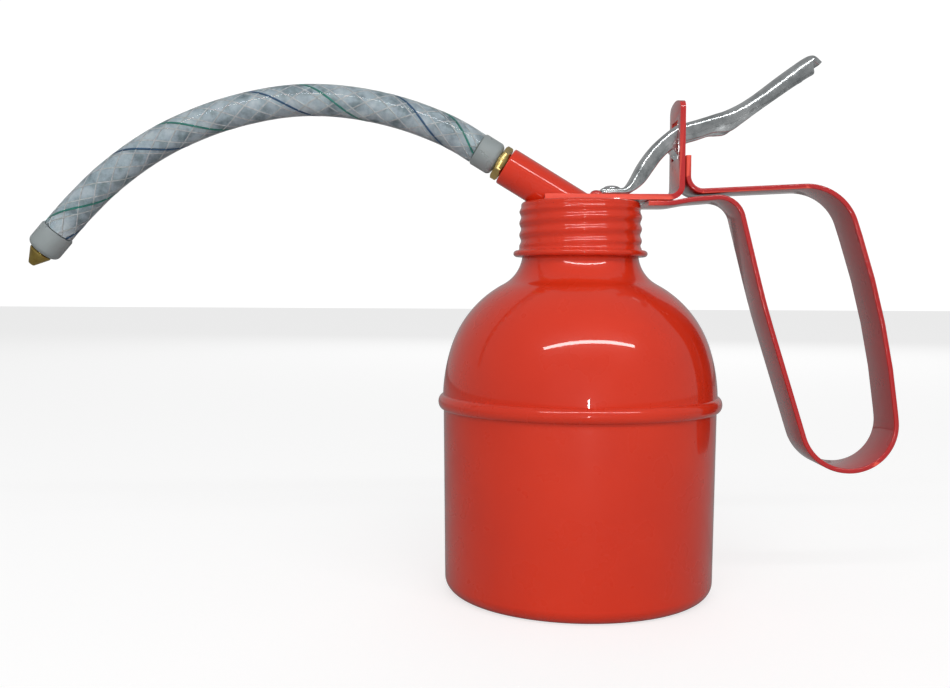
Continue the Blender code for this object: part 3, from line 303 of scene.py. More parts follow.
def revolve(name, profile, material, segments=SMALL_SEGMENTS, push=None, angle=40.0):
    """A closed turned piece. push(radius, angle, height) gives how far a point stands out."""
    shape = bmesh.new()
    rings = []
    for radius, height in profile:
        if radius < 1e-7:
            rings.append([shape.verts.new((0.0, 0.0, height))])
            continue
        ring = []
        for index in range(segments):
            turn = 2.0 * math.pi * index / segments
            out = radius + (push(radius, turn, height) if push else 0.0)
            ring.append(shape.verts.new((out * math.cos(turn), out * math.sin(turn), height)))
        rings.append(ring)
    for first, second in zip(rings, rings[1:] + rings[:1]):
        if len(first) == 1 and len(second) == 1:
            continue
        for index in range(segments):
            after = (index + 1) % segments
            corners = [first[index % len(first)], second[index % len(second)],
                       second[after % len(second)], first[after % len(first)]]
            unique = [corner for number, corner in enumerate(corners) if corner not in corners[:number]]
            shape.faces.new(unique)
    return finish_mesh(name, shape, material, angle)


def arc(centre, radius, start, end, steps):
    points = []
    for step in range(steps + 1):
        angle = math.radians(start + (end - start) * step / steps)
        points.append((centre[0] + radius * math.cos(angle), centre[1] + radius * math.sin(angle)))
    return points


def offset_inwards(points, distance):
    moved = []
    for index, point in enumerate(points):
        before = Vector(points[max(index - 1, 0)])
        after = Vector(points[min(index + 1, len(points) - 1)])
        along = (after - before).normalized()
        moved.append((point[0] + along.y * distance, point[1] - along.x * distance))
    return moved


def bent_line(start, corners, end, degrees_per_step=3.0):
    nodes = [Vector(start)] + [Vector(corner[:2]) for corner in corners] + [Vector(end)]
    line = [nodes[0]]
    for index, corner in enumerate(corners, start=1):
        back = (nodes[index - 1] - nodes[index]).normalized()
        ahead = (nodes[index + 1] - nodes[index]).normalized()
        half = math.acos(max(-1.0, min(1.0, back.dot(ahead)))) / 2.0
        radius = corner[2]
        centre = nodes[index] + (back + ahead).normalized() * (radius / math.sin(half))
        leg = radius / math.tan(half)
        first = nodes[index] + back * leg - centre
        turn = first.angle_signed(nodes[index] + ahead * leg - centre)
        steps = max(3, round(abs(math.degrees(turn)) / degrees_per_step))
        for step in range(steps + 1):
            line.append(centre + Matrix.Rotation(-turn * step / steps, 2) @ first)
    line.append(nodes[-1])
    return line


def catmull(points, steps):
    """Samples a smooth line through tuples of any length."""
    vectors = [Vector(point) for point in points]
    padded = [2 * vectors[0] - vectors[1], *vectors, 2 * vectors[-1] - vectors[-2]]
    samples = []
    for index in range(1, len(padded) - 2):
        p0, p1, p2, p3 = padded[index - 1:index + 3]
        for step in range(steps):
            t = step / steps
            samples.append(0.5 * (2 * p1 + (p2 - p0) * t + (2 * p0 - 5 * p1 + 4 * p2 - p3) * t * t
                                  + (3 * p1 - p0 - 3 * p2 + p3) * t * t * t))
    samples.append(vectors[-1])
    return samples


def loft(name, rows, material, angle=40.0):
    """A closed skin over rows of points, with each end filled."""
    shape = bmesh.new()
    made = [[shape.verts.new(point) for point in row] for row in rows]
    count = len(rows[0])
    for first, second in zip(made, made[1:]):
        for index in range(count):
            after = (index + 1) % count
            shape.faces.new((first[index], first[after], second[after], second[index]))
    for row in (made[0], made[-1]):
        shape.faces.new(row)
    bmesh.ops.triangulate(shape, faces=[face for face in shape.faces if len(face.verts) > 4])
    return finish_mesh(name, shape, material, angle)


def strip_rows(line, width, thickness, edge):
    """Rounded-edge cross-sections of a flat strip that follows a line in the XZ plane."""
    half_width = width / 2.0 - edge
    half_depth = thickness / 2.0 - edge
    section = []
    for across, up, start in ((1, 1, 0), (-1, 1, 90), (-1, -1, 180), (1, -1, 270)):
        section += arc((across * half_width, up * half_depth), edge, start, start + 90, 3)
    rows = []
    for index, point in enumerate(line):
        before = Vector(line[max(index - 1, 0)])
        after = Vector(line[min(index + 1, len(line) - 1)])
        along = (after - before).normalized()
        normal = Vector((-along.y, along.x))
        rows.append([Vector((point[0] + normal.x * up, across, point[1] + normal.y * up))
                     for across, up in section])
    return rows


def boolean(item, other, operation="DIFFERENCE"):
    modifier = item.modifiers.new(operation.lower(), "BOOLEAN")
    modifier.operation = operation
    modifier.object = other
    modifier.solver = "EXACT"


def drop(*items):
    for item in items:
        bpy.data.objects.remove(item, do_unlink=True)


def prism(name, outline, low, high, to_world):
    """A plate: its outline in two dimensions, its thickness from low to high, mapped by to_world(u, v, w)."""
    shape = bmesh.new()
    ends = [[shape.verts.new(to_world(u, v, w)) for u, v in outline] for w in (low, high)]
    count = len(outline)
    for index in range(count):
        after = (index + 1) % count
        shape.faces.new((ends[0][index], ends[0][after], ends[1][after], ends[1][index]))
    for row in ends:
        shape.faces.new(row)
    return finish_mesh(name, shape, None)


def box(name, low, high):
    corners = [(low[0], low[1]), (high[0], low[1]), (high[0], high[1]), (low[0], high[1])]
    return prism(name, corners, low[2], high[2], lambda u, v, w: (u, v, w))


def rod(name, radius, low, high, matrix=None, segments=SMALL_SEGMENTS):
    item = revolve(name, [(0.0, high), (radius, high), (radius, low), (0.0, low)], None, segments)
    return place(item, matrix) if matrix else item


# ---------------------------------------------------------------- materials
class Shader:
    """Short names for the few nodes that the materials share."""

    def __init__(self, name, colour, metallic=0.0, roughness=0.4):
        self.material = bpy.data.materials.new(name)
        self.material.use_nodes = True
        self.nodes = self.material.node_tree.nodes
        self.links = self.material.node_tree.links
        self.bsdf = self.nodes["Principled BSDF"]
        self.bsdf.inputs["Base Color"].default_value = (*colour, 1.0)
        self.bsdf.inputs["Metallic"].default_value = metallic
        self.bsdf.inputs["Roughness"].default_value = roughness
        self.place = self.nodes.new("ShaderNodeTexCoord").outputs["Object"]

    def stretched(self, scale):
        mapping = self.nodes.new("ShaderNodeMapping")
        mapping.inputs["Scale"].default_value = scale
        self.links.new(self.place, mapping.inputs["Vector"])
        return mapping.outputs["Vector"]

    def noise(self, scale, detail=3.0, roughness=0.5, vector=None):
        noise = self.nodes.new("ShaderNodeTexNoise")
        noise.inputs["Scale"].default_value = scale
        noise.inputs["Detail"].default_value = detail
        noise.inputs["Roughness"].default_value = roughness
        self.links.new(vector or self.place, noise.inputs["Vector"])
        return noise.outputs["Fac"]

    def spots(self, scale):
        cells = self.nodes.new("ShaderNodeTexVoronoi")
        cells.inputs["Scale"].default_value = scale
        self.links.new(self.place, cells.inputs["Vector"])
        return cells.outputs["Distance"]

    def ramp(self, factor, *stops):
        """Stops are (position, grey or colour)."""
        ramp = self.nodes.new("ShaderNodeValToRGB")
        elements = ramp.color_ramp.elements
        while len(elements) < len(stops):
            elements.new(0.5)
        for element, (position, value) in zip(elements, stops):
            element.position = position
            element.color = (*value, 1.0) if isinstance(value, tuple) else (value, value, value, 1.0)
        self.links.new(factor, ramp.inputs["Fac"])
        return ramp.outputs["Color"]

    def mix(self, factor, first, second, blend="MIX"):
        mix = self.nodes.new("ShaderNodeMix")
        mix.data_type = "RGBA"
        mix.blend_type = blend
        for socket, value in ((mix.inputs[0], factor), (mix.inputs[6], first), (mix.inputs[7], second)):
            if isinstance(value, bpy.types.NodeSocket):
                self.links.new(value, socket)
            elif isinstance(value, tuple):
                socket.default_value = (*value, 1.0)
            else:
                socket.default_value = value
        return mix.outputs[2]

    def colour(self, output):
        self.links.new(output, self.bsdf.inputs["Base Color"])

    def rough(self, output):
        self.links.new(output, self.bsdf.inputs["Roughness"])

    def bump(self, *layers):
        """Each layer is (height output, strength, depth in metres)."""
        previous = None
        for height, strength, depth in layers:
            bump = self.nodes.new("ShaderNodeBump")
            bump.inputs["Strength"].default_value = strength
            bump.inputs["Distance"].default_value = depth
            self.links.new(height, bump.inputs["Height"])
            if previous:
                self.links.new(previous, bump.inputs["Normal"])
            previous = bump.outputs["Normal"]
        self.links.new(previous, self.bsdf.inputs["Normal"])

    def edges(self, low, high):
        """1 on outer edges, 0 on faces: the mask for a painted highlight along the edges."""
        pointiness = self.nodes.new("ShaderNodeNewGeometry").outputs["Pointiness"]
        return self.ramp(pointiness, (low, 0.0), (high, 1.0))


def enamel(name, colour, deep, painted_edge_highlight=0.0, coat=1.5):
    """Stoved gloss enamel over steel: a faint orange peel, dust nibs and slow colour drift."""
    shader = Shader(name, colour, roughness=0.32)
    drift = shader.ramp(shader.noise(26.0, 2.0), (0.3, 0.0), (0.7, 1.0))
    paint = shader.mix(drift, colour, deep)
    nibs = shader.ramp(shader.spots(420.0), (0.03, 1.0), (0.07, 0.0))
    rare = shader.ramp(shader.noise(160.0, 1.0), (0.66, 0.0), (0.70, 1.0))
    nibs_here = shader.mix(1.0, nibs, rare, "MULTIPLY")
    paint = shader.mix(nibs_here, paint, (0.30, 0.014, 0.006))
    # painted highlight: a lighter red laid along the outer edges, where the lamps would catch them
    if painted_edge_highlight:
        paint = shader.mix(shader.edges(0.53, 0.62), paint, (0.93, 0.10, 0.06))
    shader.colour(paint)
    shader.rough(shader.ramp(shader.noise(90.0), (0.3, 0.24), (0.7, 0.36)))
    shader.bump((shader.noise(330.0, 1.0), 0.10, 0.00025), (shader.noise(60.0, 1.0), 0.10, 0.0006),
                (nibs_here, 0.5, 0.0001))
    shader.bsdf.inputs["Coat Weight"].default_value = 1.0
    shader.bsdf.inputs["Coat Roughness"].default_value = 0.035
    shader.bsdf.inputs["Coat IOR"].default_value = coat
    shader.bsdf.inputs["Specular IOR Level"].default_value = 0.15
    return shader.material


def zinc(name):
    """Bright zinc over pressed strip: drawn streaks along the lever, bright and dull patches."""
    shader = Shader(name, (0.82, 0.84, 0.85), 1.0, 0.22)
    along = shader.stretched((60.0, 900.0, 60.0))
    streaks = shader.noise(1.0, 4.0, 0.6, along)
    mottle = shader.noise(420.0, 3.0, 0.6)
    tone = shader.ramp(shader.noise(110.0, 4.0, 0.65), (0.30, (0.34, 0.37, 0.38)), (0.62, (0.80, 0.83, 0.84)))
    shader.colour(shader.mix(shader.ramp(streaks, (0.35, 0.0), (0.75, 0.45)), tone, (0.42, 0.45, 0.46)))
    shader.rough(shader.ramp(mottle, (0.3, 0.12), (0.7, 0.26)))
    shader.bump((mottle, 0.16, 0.0003), (streaks, 0.25, 0.0003), (shader.noise(150.0, 2.0), 0.12, 0.0010))
    return shader.material


def plain_metal(name, light, dark, roughness, scale=180.0, bump=0.12):
    shader = Shader(name, light, 1.0, roughness)
    stain = shader.ramp(shader.noise(scale, 4.0, 0.6), (0.35, dark), (0.65, light))
    shader.colour(stain)
    shader.rough(shader.ramp(shader.noise(scale * 3.0), (0.3, roughness * 0.7), (0.7, roughness * 1.4)))
    shader.bump((shader.noise(scale * 8.0, 2.0), bump, 0.0002))
    return shader.material


def rubber(name, colour):
    shader = Shader(name, colour, 0.0, 0.75)
    shader.colour(shader.ramp(shader.noise(300.0), (0.3, colour), (0.7, tuple(2.0 * c for c in colour))))
    shader.bump((shader.noise(1500.0), 0.3, 0.0001))
    return shader.material


def leather(name):
    shader = Shader(name, (0.20, 0.10, 0.05), 0.0, 0.7)
    shader.colour(shader.ramp(shader.noise(400.0, 4.0), (0.3, (0.10, 0.05, 0.02)), (0.7, (0.26, 0.14, 0.07))))
    shader.bump((shader.spots(1800.0), 0.4, 0.0001))
    return shader.material


def hose_core(name):
    """The oil passage seen through the wall: milky grey-green with darker clouds."""
    shader = Shader(name, (0.36, 0.43, 0.44), 0.0, 0.35)
    clouds = shader.noise(170.0, 4.0, 0.6)
    shader.colour(shader.ramp(clouds, (0.34, (0.26, 0.35, 0.40)), (0.50, (0.58, 0.69, 0.75)),
                              (0.70, (0.86, 0.94, 0.98))))
    shader.bump((clouds, 0.4, 0.0006))
    return shader.material


def clear_plastic(name, tint, roughness, transmission=1.0):
    shader = Shader(name, tint, 0.0, roughness)
    shader.bsdf.inputs["Transmission Weight"].default_value = transmission
    shader.bsdf.inputs["IOR"].default_value = 1.42
    shader.rough(shader.ramp(shader.noise(200.0), (0.3, roughness * 0.6), (0.7, roughness * 1.6)))
    shader.bump((shader.noise(240.0, 2.0), 0.15, 0.0005))
    return shader.material


def thread_yarn(name, colour):
    shader = Shader(name, colour, 0.0, 0.45)
    dull = tuple(0.75 * c for c in colour)
    shader.colour(shader.ramp(shader.noise(900.0, 2.0), (0.35, dull), (0.65, colour)))
    shader.bump((shader.noise(3000.0), 0.3, 0.00005))
    return shader.material


RED = enamel("red_enamel", (0.72, 0.036, 0.010), (0.66, 0.030, 0.008))
# the strap's and bracket's enamel carries a painted highlight on its outer edges
RED_STRAP = enamel("red_enamel_strap", (0.52, 0.011, 0.013), (0.46, 0.009, 0.011), painted_edge_highlight=1.0, coat=1.75)
ZINC = zinc("bright_zinc")
BRASS_HEX = plain_metal("brass_hex", (0.80, 0.62, 0.26), (0.62, 0.44, 0.14), 0.30)
BRASS_TIP = plain_metal("brass_tip", (0.58, 0.44, 0.13), (0.36, 0.25, 0.06), 0.34)
BRASS_PUMP = plain_metal("brass_pump", (0.62, 0.46, 0.22), (0.42, 0.29, 0.12), 0.32, 90.0)
STEEL = plain_metal("steel", (0.60, 0.61, 0.62), (0.42, 0.43, 0.44), 0.30)
RIVET_ZINC = plain_metal("rivet_zinc", (0.88, 0.89, 0.90), (0.62, 0.64, 0.66), 0.16, 260.0, 0.25)
RUBBER = rubber("black_rubber", (0.02, 0.02, 0.02))
LEATHER = leather("oiled_leather")
HOSE_CORE = hose_core("hose_core")
HOSE_CLEAR = clear_plastic("hose_clear", (0.97, 0.99, 1.0), 0.05)
FERRULE_CORE = clear_plastic("ferrule_core", (0.42, 0.47, 0.475), 0.35, 0.35)
YARN_WHITE = thread_yarn("yarn_white", (0.92, 0.95, 0.96))
YARN_BLUE = thread_yarn("yarn_blue", (0.04, 0.13, 0.26))
YARN_GREEN = thread_yarn("yarn_green", (0.04, 0.30, 0.24))


# ---------------------------------------------------------------- the can
def ridge(height, turn):
    phase = (height - THREAD_PHASE) / THREAD_PITCH - turn / (2.0 * math.pi)
    return (1.0 + math.cos(2.0 * math.pi * phase)) / 2.0


def thread_fade(height):
    low = min(1.0, max(0.0, (height - THREAD_LOW) / THREAD_FADE))
    high = min(1.0, max(0.0, (THREAD_HIGH - height) / THREAD_FADE))
    return low, high


def neck_push(radius, turn, height):
    low, high = thread_fade(height)
    return THREAD_DEPTH * ridge(height, turn) * min(low, high)


def cap_push(radius, turn, height):
    low, high = thread_fade(height)
    if radius < CAP_THREAD_RADIUS - 0.0015 or height < THREAD_LOW - 0.00005:
        return 0.0
    return THREAD_DEPTH * (ridge(height, turn) * min(low, high) + (1.0 - low))


def thread_rows(radius, low, high):
    count = round((high - low) / THREAD_STEP)
    return [(radius, high - (high - low) * row / count) for row in range(count + 1)]


def dome_line():
    lower = Vector((DOME_RADIUS - DOME_LOWER_ARC, DOME_START))
    join = Vector((math.cos(DOME_LOWER_ANGLE), math.sin(DOME_LOWER_ANGLE)))
    upper = lower + join * (DOME_LOWER_ARC - DOME_UPPER_ARC)
    fillet_x = NECK_RADIUS + NECK_FILLET
    reach = DOME_UPPER_ARC + NECK_FILLET
    fillet = Vector((fillet_x, upper.y + math.sqrt(reach ** 2 - (fillet_x - upper.x) ** 2)))
    meet = math.degrees(math.atan2(fillet.y - upper.y, fillet.x - upper.x))
    join_angle = math.degrees(DOME_LOWER_ANGLE)
    bead_top = math.degrees(math.asin((BEAD_MIDDLE + BEAD_HALF_HEIGHT - DOME_START) / DOME_LOWER_ARC))
    points = arc(fillet, NECK_FILLET, 180.0, 180.0 + meet, 16)
    points += arc(upper, DOME_UPPER_ARC, meet, join_angle, 30)[1:]
    points += arc(lower, DOME_LOWER_ARC, join_angle, bead_top, 12)[1:]
    return points


def bead_line():
    half_depth = BEAD_RADIUS - BODY_RADIUS
    end = math.degrees(math.asin((BEAD_LOW - BEAD_MIDDLE) / BEAD_HALF_HEIGHT))
    unit = arc((0.0, 0.0), 1.0, 72.0, end, 14)
    return [(BODY_RADIUS + half_depth * x, BEAD_MIDDLE + BEAD_HALF_HEIGHT * y) for x, y in unit]


def make_can():
    lean = math.degrees(math.atan2(BODY_RADIUS - BASE_RADIUS, BEAD_LOW - BASE_CORNER))
    outer = [(BODY_RADIUS + CUP_FLARE, CUP_TOP), (BODY_RADIUS, CUP_TOP - CUP_FLARE_HEIGHT),
             (BODY_RADIUS, CUP_WALL_TOP)]
    outer += arc((BASE_RADIUS - BASE_CORNER, BASE_CORNER), BASE_CORNER, -lean, -90.0, 16)
    inner = arc((BASE_RADIUS - BASE_CORNER, BASE_CORNER), BASE_CORNER - BASE_THICKNESS, -90.0, -lean, 8)
    inner_radius = BODY_RADIUS - BASE_THICKNESS
    inner += [(inner_radius, CUP_WALL_TOP), (inner_radius, CUP_TOP - 0.001)]
    profile = outer + [(0.0, 0.0), (0.0, BASE_THICKNESS)] + inner
    cup = revolve("cup", profile, RED, BODY_SEGMENTS)
    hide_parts("lower_body")
    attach(cup, "can")
    outer = thread_rows(NECK_THREAD_RADIUS, THREAD_LOW + 0.0002, NECK_TOP) + dome_line() + bead_line()
    inner = offset_inwards(outer, SHEET)
    dome = revolve("dome", outer + inner[::-1], RED, BODY_SEGMENTS, neck_push, 60.0)
    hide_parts("upper_body")
    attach(dome, "can")


def make_cap():
    side = thread_rows(CAP_THREAD_RADIUS, THREAD_LOW, CAP_TOP - CAP_CORNER - 0.0003)
    corner = arc((CAP_THREAD_RADIUS - CAP_CORNER, CAP_TOP - CAP_CORNER), CAP_CORNER, 90.0, 10.0, 8)
    roll_radius = (THREAD_LOW - 0.0004 - CAP_LOW) / 2.0
    roll = arc((CAP_LIP_RADIUS - roll_radius, CAP_LOW + roll_radius), roll_radius, 120.0, -90.0, 18)
    lip = [(CAP_THREAD_RADIUS + THREAD_DEPTH - SHEET + 0.0001, CAP_LOW + 0.0004)]
    inner = [(CAP_THREAD_RADIUS - SHEET, height) for _, height in side[::-1]]
    inner[0] = (lip[0][0], THREAD_LOW - 0.0001)
    under = [(CAP_THREAD_RADIUS - 0.0013, CAP_TOP - SHEET), (0.0, CAP_TOP - SHEET)]
    cap = revolve("screw_cap", [(0.0, CAP_TOP)] + corner + side + roll + lip + inner + under, RED,
                  BODY_SEGMENTS, cap_push, 60.0)
    cutters = [rod("hole", GLAND_HOLE_RADIUS, TOP_CUT_LOW, TOP_CUT_HIGH, Matrix.Translation((PUMP_X, 0, 0)))]
    cutters.append(rod("hole", SPOUT_RADIUS + HOLE_CLEARANCE, *CAP_SPOUT_CUT, SPOUT_MATRIX))
    for hand in (-1, 1):
        rivet_axis = Matrix.Translation((RIVET_X, hand * RIVET_Y, 0))
        cutters.append(rod("hole", RIVET_HOLE_RADIUS, TOP_CUT_LOW, TOP_CUT_HIGH, rivet_axis))
    for cutter in cutters:
        boolean(cap, cutter)
    apply_modifiers(cap, 60.0)
    drop(*cutters)
    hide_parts("cap")
    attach(cap, "head")


# ---------------------------------------------------------------- bracket and handle
def crown_outline():
    half = BRACKET_WIDTH / 2.0
    centre = UPRIGHT_TOP - CROWN_RADIUS
    shoulder_y = half - CROWN_CORNER
    shoulder_z = centre + math.sqrt((CROWN_RADIUS - CROWN_CORNER) ** 2 - shoulder_y ** 2)
    lean = math.degrees(math.atan2(shoulder_z - centre, shoulder_y))
    right = arc((shoulder_y, shoulder_z), CROWN_CORNER, 0.0, lean, 8)
    top = arc((0.0, centre), CROWN_RADIUS, lean, 180.0 - lean, 12)[1:-1]
    left = [(-y, z) for y, z in right[::-1]]
    low = PLATE_LOW - 0.005
    return [(half, low)] + right + top + left + [(-half, low)]


def make_bracket():
    middle = PLATE_LOW + BRACKET_THICKNESS / 2.0
    line = bent_line((PLATE_FRONT, middle), [(UPRIGHT_X, middle, UPRIGHT_BEND)],
                     (UPRIGHT_X, UPRIGHT_TOP + SPARE_HEIGHT), 6.0)
    half = BRACKET_THICKNESS / 2.0
    upper = offset_inwards(line, -half)
    lower = offset_inwards(line, half)
    outline = [tuple(point) for point in upper] + [tuple(point) for point in lower[::-1]]
    width = BRACKET_WIDTH / 2.0 + SPARE_WIDTH
    bracket = prism("bracket_sheet", outline, -width, width, lambda u, v, w: (u, w, v))
    bracket.data.materials.append(RED_STRAP)
    crown = prism("crown", crown_outline(), -CROWN_REACH, CROWN_REACH, lambda u, v, w: (w, u, v))
    boolean(bracket, crown, "INTERSECT")
    slot = box("slot", (UPRIGHT_X - SLOT_CUT_HALF, -SLOT_WIDTH / 2.0, SLOT_LOW),
               (UPRIGHT_X + SLOT_CUT_HALF, SLOT_WIDTH / 2.0, SLOT_HIGH))
    spout = rod("hole", SPOUT_RADIUS + HOLE_CLEARANCE, *BRACKET_SPOUT_CUT, SPOUT_MATRIX)
    gland = rod("hole", GLAND_HOLE_RADIUS, TOP_CUT_LOW, TOP_CUT_HIGH, Matrix.Translation((PUMP_X, 0, 0)), 32)
    for cutter in (slot, spout, gland):
        boolean(bracket, cutter)
    bevel = bracket.modifiers.new("edge", "BEVEL")
    bevel.width = SHEET_EDGE
    bevel.segments = 3
    bevel.limit_method = "ANGLE"
    bevel.angle_limit = math.radians(50.0)
    apply_modifiers(bracket)
    drop(crown, slot, spout, gland)
    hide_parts("bracket")
    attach(bracket, "head")


def make_strap():
    line = bent_line(STRAP_START, STRAP_CORNERS, STRAP_END)
    strap = loft("strap_handle", strip_rows(line, STRAP_WIDTH, STRAP_THICKNESS, SHEET_EDGE), RED_STRAP)
    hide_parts("handle_strap")
    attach(strap, "head")


def make_bracket_rivets():
    head_low = PLATE_TOP + HOLE_CLEARANCE
    angles = [math.radians(degrees) for degrees in range(75, -1, -15)]
    head = [(RIVET_HEAD_RADIUS * math.cos(angle), head_low + RIVET_HEAD_HEIGHT * math.sin(angle))
            for angle in angles]
    tail_top = CAP_TOP - SHEET - GAP
    tail_low = tail_top - RIVET_TAIL_HEIGHT
    profile = [(0.0, head_low + RIVET_HEAD_HEIGHT)] + head
    profile += [(RIVET_SHANK_RADIUS, head_low), (RIVET_SHANK_RADIUS, tail_top), (RIVET_TAIL_RADIUS, tail_top),
                (RIVET_TAIL_RADIUS, tail_low), (0.0, tail_low)]
    for side, name in ((-1, "near"), (1, "far")):
        rivet = revolve(f"round_rivet_{name}", profile, RED_STRAP, 40)
        place(rivet, Matrix.Translation((RIVET_X, side * RIVET_Y, 0.0)))
        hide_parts(f"bracket_rivet_{name}")
        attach(rivet, "head")


# ---------------------------------------------------------------- lever and rod head
def lever_section(half_width, depth, corner):
    """The channel's outline, open below, in pairs of across and up."""
    wall = LEVER_SHEET
    inner = half_width - wall
    inner_corner = max(0.0004, corner - wall)
    lip = LEVER_LIP
    right = arc((half_width - corner, -corner), corner, 90.0, 0.0, 6)
    foot = arc((half_width - lip, -depth + lip), lip, 0.0, -90.0, 2)
    foot += arc((inner + lip, -depth + lip), lip, -90.0, -180.0, 2)
    inside = arc((inner - inner_corner, -wall - inner_corner), inner_corner, 0.0, 90.0, 4)
    half = right + foot + inside
    return half + [(-across, up) for across, up in half[::-1]]


def make_lever():
    rows = []
    for x, z, heading, half_width, depth, corner in catmull(LEVER_STATIONS, 4):
        angle = math.radians(heading)
        up = Vector((-math.sin(angle), 0.0, math.cos(angle)))
        centre = Vector((x, 0.0, z))
        depth = max(depth, corner + 0.0006)
        rows.append([centre + Vector((0.0, across, 0.0)) + up * rise
                     for across, rise in lever_section(half_width, depth, corner)])
    lever = loft("thumb_lever", rows, ZINC, 50.0)
    ears = []
    for side in (-1, 1):
        middle = side * (LEVER_HALF_WIDTH - LEVER_SHEET / 2.0)
        thin = (LEVER_SHEET - EAR_THINNING) / 2.0
        ears.append(prism("ear", EAR_OUTLINE, middle - thin, middle + thin, lambda u, v, w: (u, w, v)))
    radius = ROD_RADIUS + GAP
    outline = arc((LEVER_HOLE_FRONT + radius, 0.0), radius, 90.0, 270.0, 16)
    outline += arc((LEVER_HOLE_REAR - radius, 0.0), radius, -90.0, 90.0, 16)
    hole = prism("rod_hole", outline, ROD_HEAD_LOW - 0.004, ROD_HEAD_LOW + 0.002, lambda u, v, w: (u, v, w))
    for ear in ears:
        boolean(lever, ear, "UNION")
    boolean(lever, hole)
    apply_modifiers(lever, 50.0)
    drop(*ears, hole)
    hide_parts("lever")
    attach(lever, "lever")


def make_rod():
    angles = [math.radians(degrees) for degrees in range(80, -1, -10)]
    head = [(ROD_HEAD_RADIUS * math.cos(angle), ROD_HEAD_LOW + ROD_HEAD_HEIGHT * math.sin(angle))
            for angle in angles]
    profile = [(0.0, ROD_HEAD_LOW + ROD_HEAD_HEIGHT)] + head
    profile += [(ROD_RADIUS, ROD_HEAD_LOW), (ROD_RADIUS, ROD_BOTTOM), (0.0, ROD_BOTTOM)]
    piece = revolve("riveted_rod", profile, RIVET_ZINC, 48)
    place(piece, Matrix.Translation((PUMP_X, 0.0, 0.0)))
    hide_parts("pump_rod")
    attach(piece, "plunger")


# ---------------------------------------------------------------- spout, hose and nozzle
SPOUT_MATRIX = axis_matrix(SPOUT_END, SPOUT_TILT - math.pi / 2.0)
NOZZLE_MATRIX = axis_matrix((HOSE_ROUTE[-1][0], 0.0, HOSE_ROUTE[-1][1]),
                            math.atan2(TIP_DIRECTION.x, TIP_DIRECTION.z))


def make_spout():
    rim = arc((SPOUT_RADIUS - 0.0007, -0.0007), 0.0007, 80.0, 0.0, 6)
    profile = [(SPOUT_BORE, 0.0)] + rim + [(SPOUT_RADIUS, -SPOUT_LENGTH), (SPOUT_BORE, -SPOUT_LENGTH)]
    tube = revolve("spout_pipe", profile, RED, 96)
    place(tube, SPOUT_MATRIX)
    barrel = rod("barrel", PUMP_OUTER_RADIUS + GAP, BARREL_CUT_LOW, BARREL_CUT_HIGH,
                 Matrix.Translation((PUMP_X, 0, 0)))
    trim = box("trim", (PUMP_X - TRIM_FRONT, -TRIM_HALF_WIDTH, BARREL_CUT_LOW),
               (TRIM_REAR, TRIM_HALF_WIDTH, TRIM_HIGH))
    boolean(tube, barrel)
    boolean(tube, trim)
    apply_modifiers(tube)
    drop(barrel, trim)
    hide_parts("spout_tube")
    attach(tube, "head")


def make_fitting():
    """Chamfered hexagon on its threaded shank and barb."""
    low, high = GAP, GAP + HEX_HEIGHT
    barb_end = high + GAP + FERRULE_LENGTH
    corner = HEX_ACROSS_FLATS / math.sqrt(3.0)
    turns = [math.radians(60 * k) for k in range(6)]
    outline = [(corner * math.cos(turn), corner * math.sin(turn)) for turn in turns]
    hexagon = prism("hex", outline, low, high, lambda u, v, w: (u, v, w))
    hexagon.data.materials.append(BRASS_HEX)
    face = corner - HEX_CHAMFER
    waist = corner + HEX_CHAMFER_OUT
    dome = [(0.0, high), (face, high), (waist, high - HEX_CHAMFER_HEIGHT), (waist, low + HEX_CHAMFER_HEIGHT),
            (face, low), (0.0, low)]
    chamfer = revolve("chamfer", dome, None, 64)
    shank = SPOUT_BORE - GAP
    profile = [(0.0, barb_end), (BARB_RADIUS - BARB_TAPER, barb_end), (BARB_RADIUS, barb_end - BARB_LEAD),
               (BARB_RADIUS, SHANK_TOP), (shank, SHANK_TOP), (shank, SHANK_END), (0.0, SHANK_END)]
    core = revolve("core", profile, None, 48)
    bore = rod("bore", PASSAGE_RADIUS, PASSAGE_START, barb_end + CUT_OVER, segments=32)
    boolean(hexagon, chamfer, "INTERSECT")
    boolean(hexagon, core, "UNION")
    boolean(hexagon, bore)
    bevel = hexagon.modifiers.new("edge", "BEVEL")
    bevel.width = 0.00012
    bevel.segments = 2
    bevel.limit_method = "ANGLE"
    apply_modifiers(hexagon, 30.0)
    drop(chamfer, core, bore)
    hexagon.name = "hex_fitting"
    place(hexagon, SPOUT_MATRIX)
    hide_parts("hose_fitting")
    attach(hexagon, "head")


def make_ferrules():
    low = 2.0 * GAP + HEX_HEIGHT
    high = low + FERRULE_LENGTH
    rounding = FERRULE_ROUNDING
    foot = arc((FERRULE_RADIUS - rounding, low + rounding), rounding, 0.0, -90.0, 10)
    profile = [(FERRULE_BORE, high), (FERRULE_RADIUS - 0.0003, high), (FERRULE_RADIUS, high - 0.0004)]
    near = revolve("ferrule_near", profile + foot + [(FERRULE_BORE, low)], FERRULE_CORE, 64)
    place(near, SPOUT_MATRIX)
    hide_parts("hose_ferrule_near")
    low = GAP
    high = GAP + TIP_FERRULE_LENGTH
    rounding = TIP_FERRULE_ROUNDING
    shoulder = arc((TIP_FERRULE_RADIUS - rounding, high - rounding), rounding, 90.0, 0.0, 10)
    lip = [(TIP_FERRULE_RADIUS, low + 0.0005), (TIP_FERRULE_RADIUS - 0.0003, low)]
    profile = [(FERRULE_BORE, high)] + shoulder + lip + [(FERRULE_BORE, low)]
    tip = revolve("ferrule_tip", profile, FERRULE_CORE, 64)
    place(tip, NOZZLE_MATRIX)
    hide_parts("hose_ferrule_tip")
    for piece in (near, tip):
        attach(piece, "head")
    return near, tip


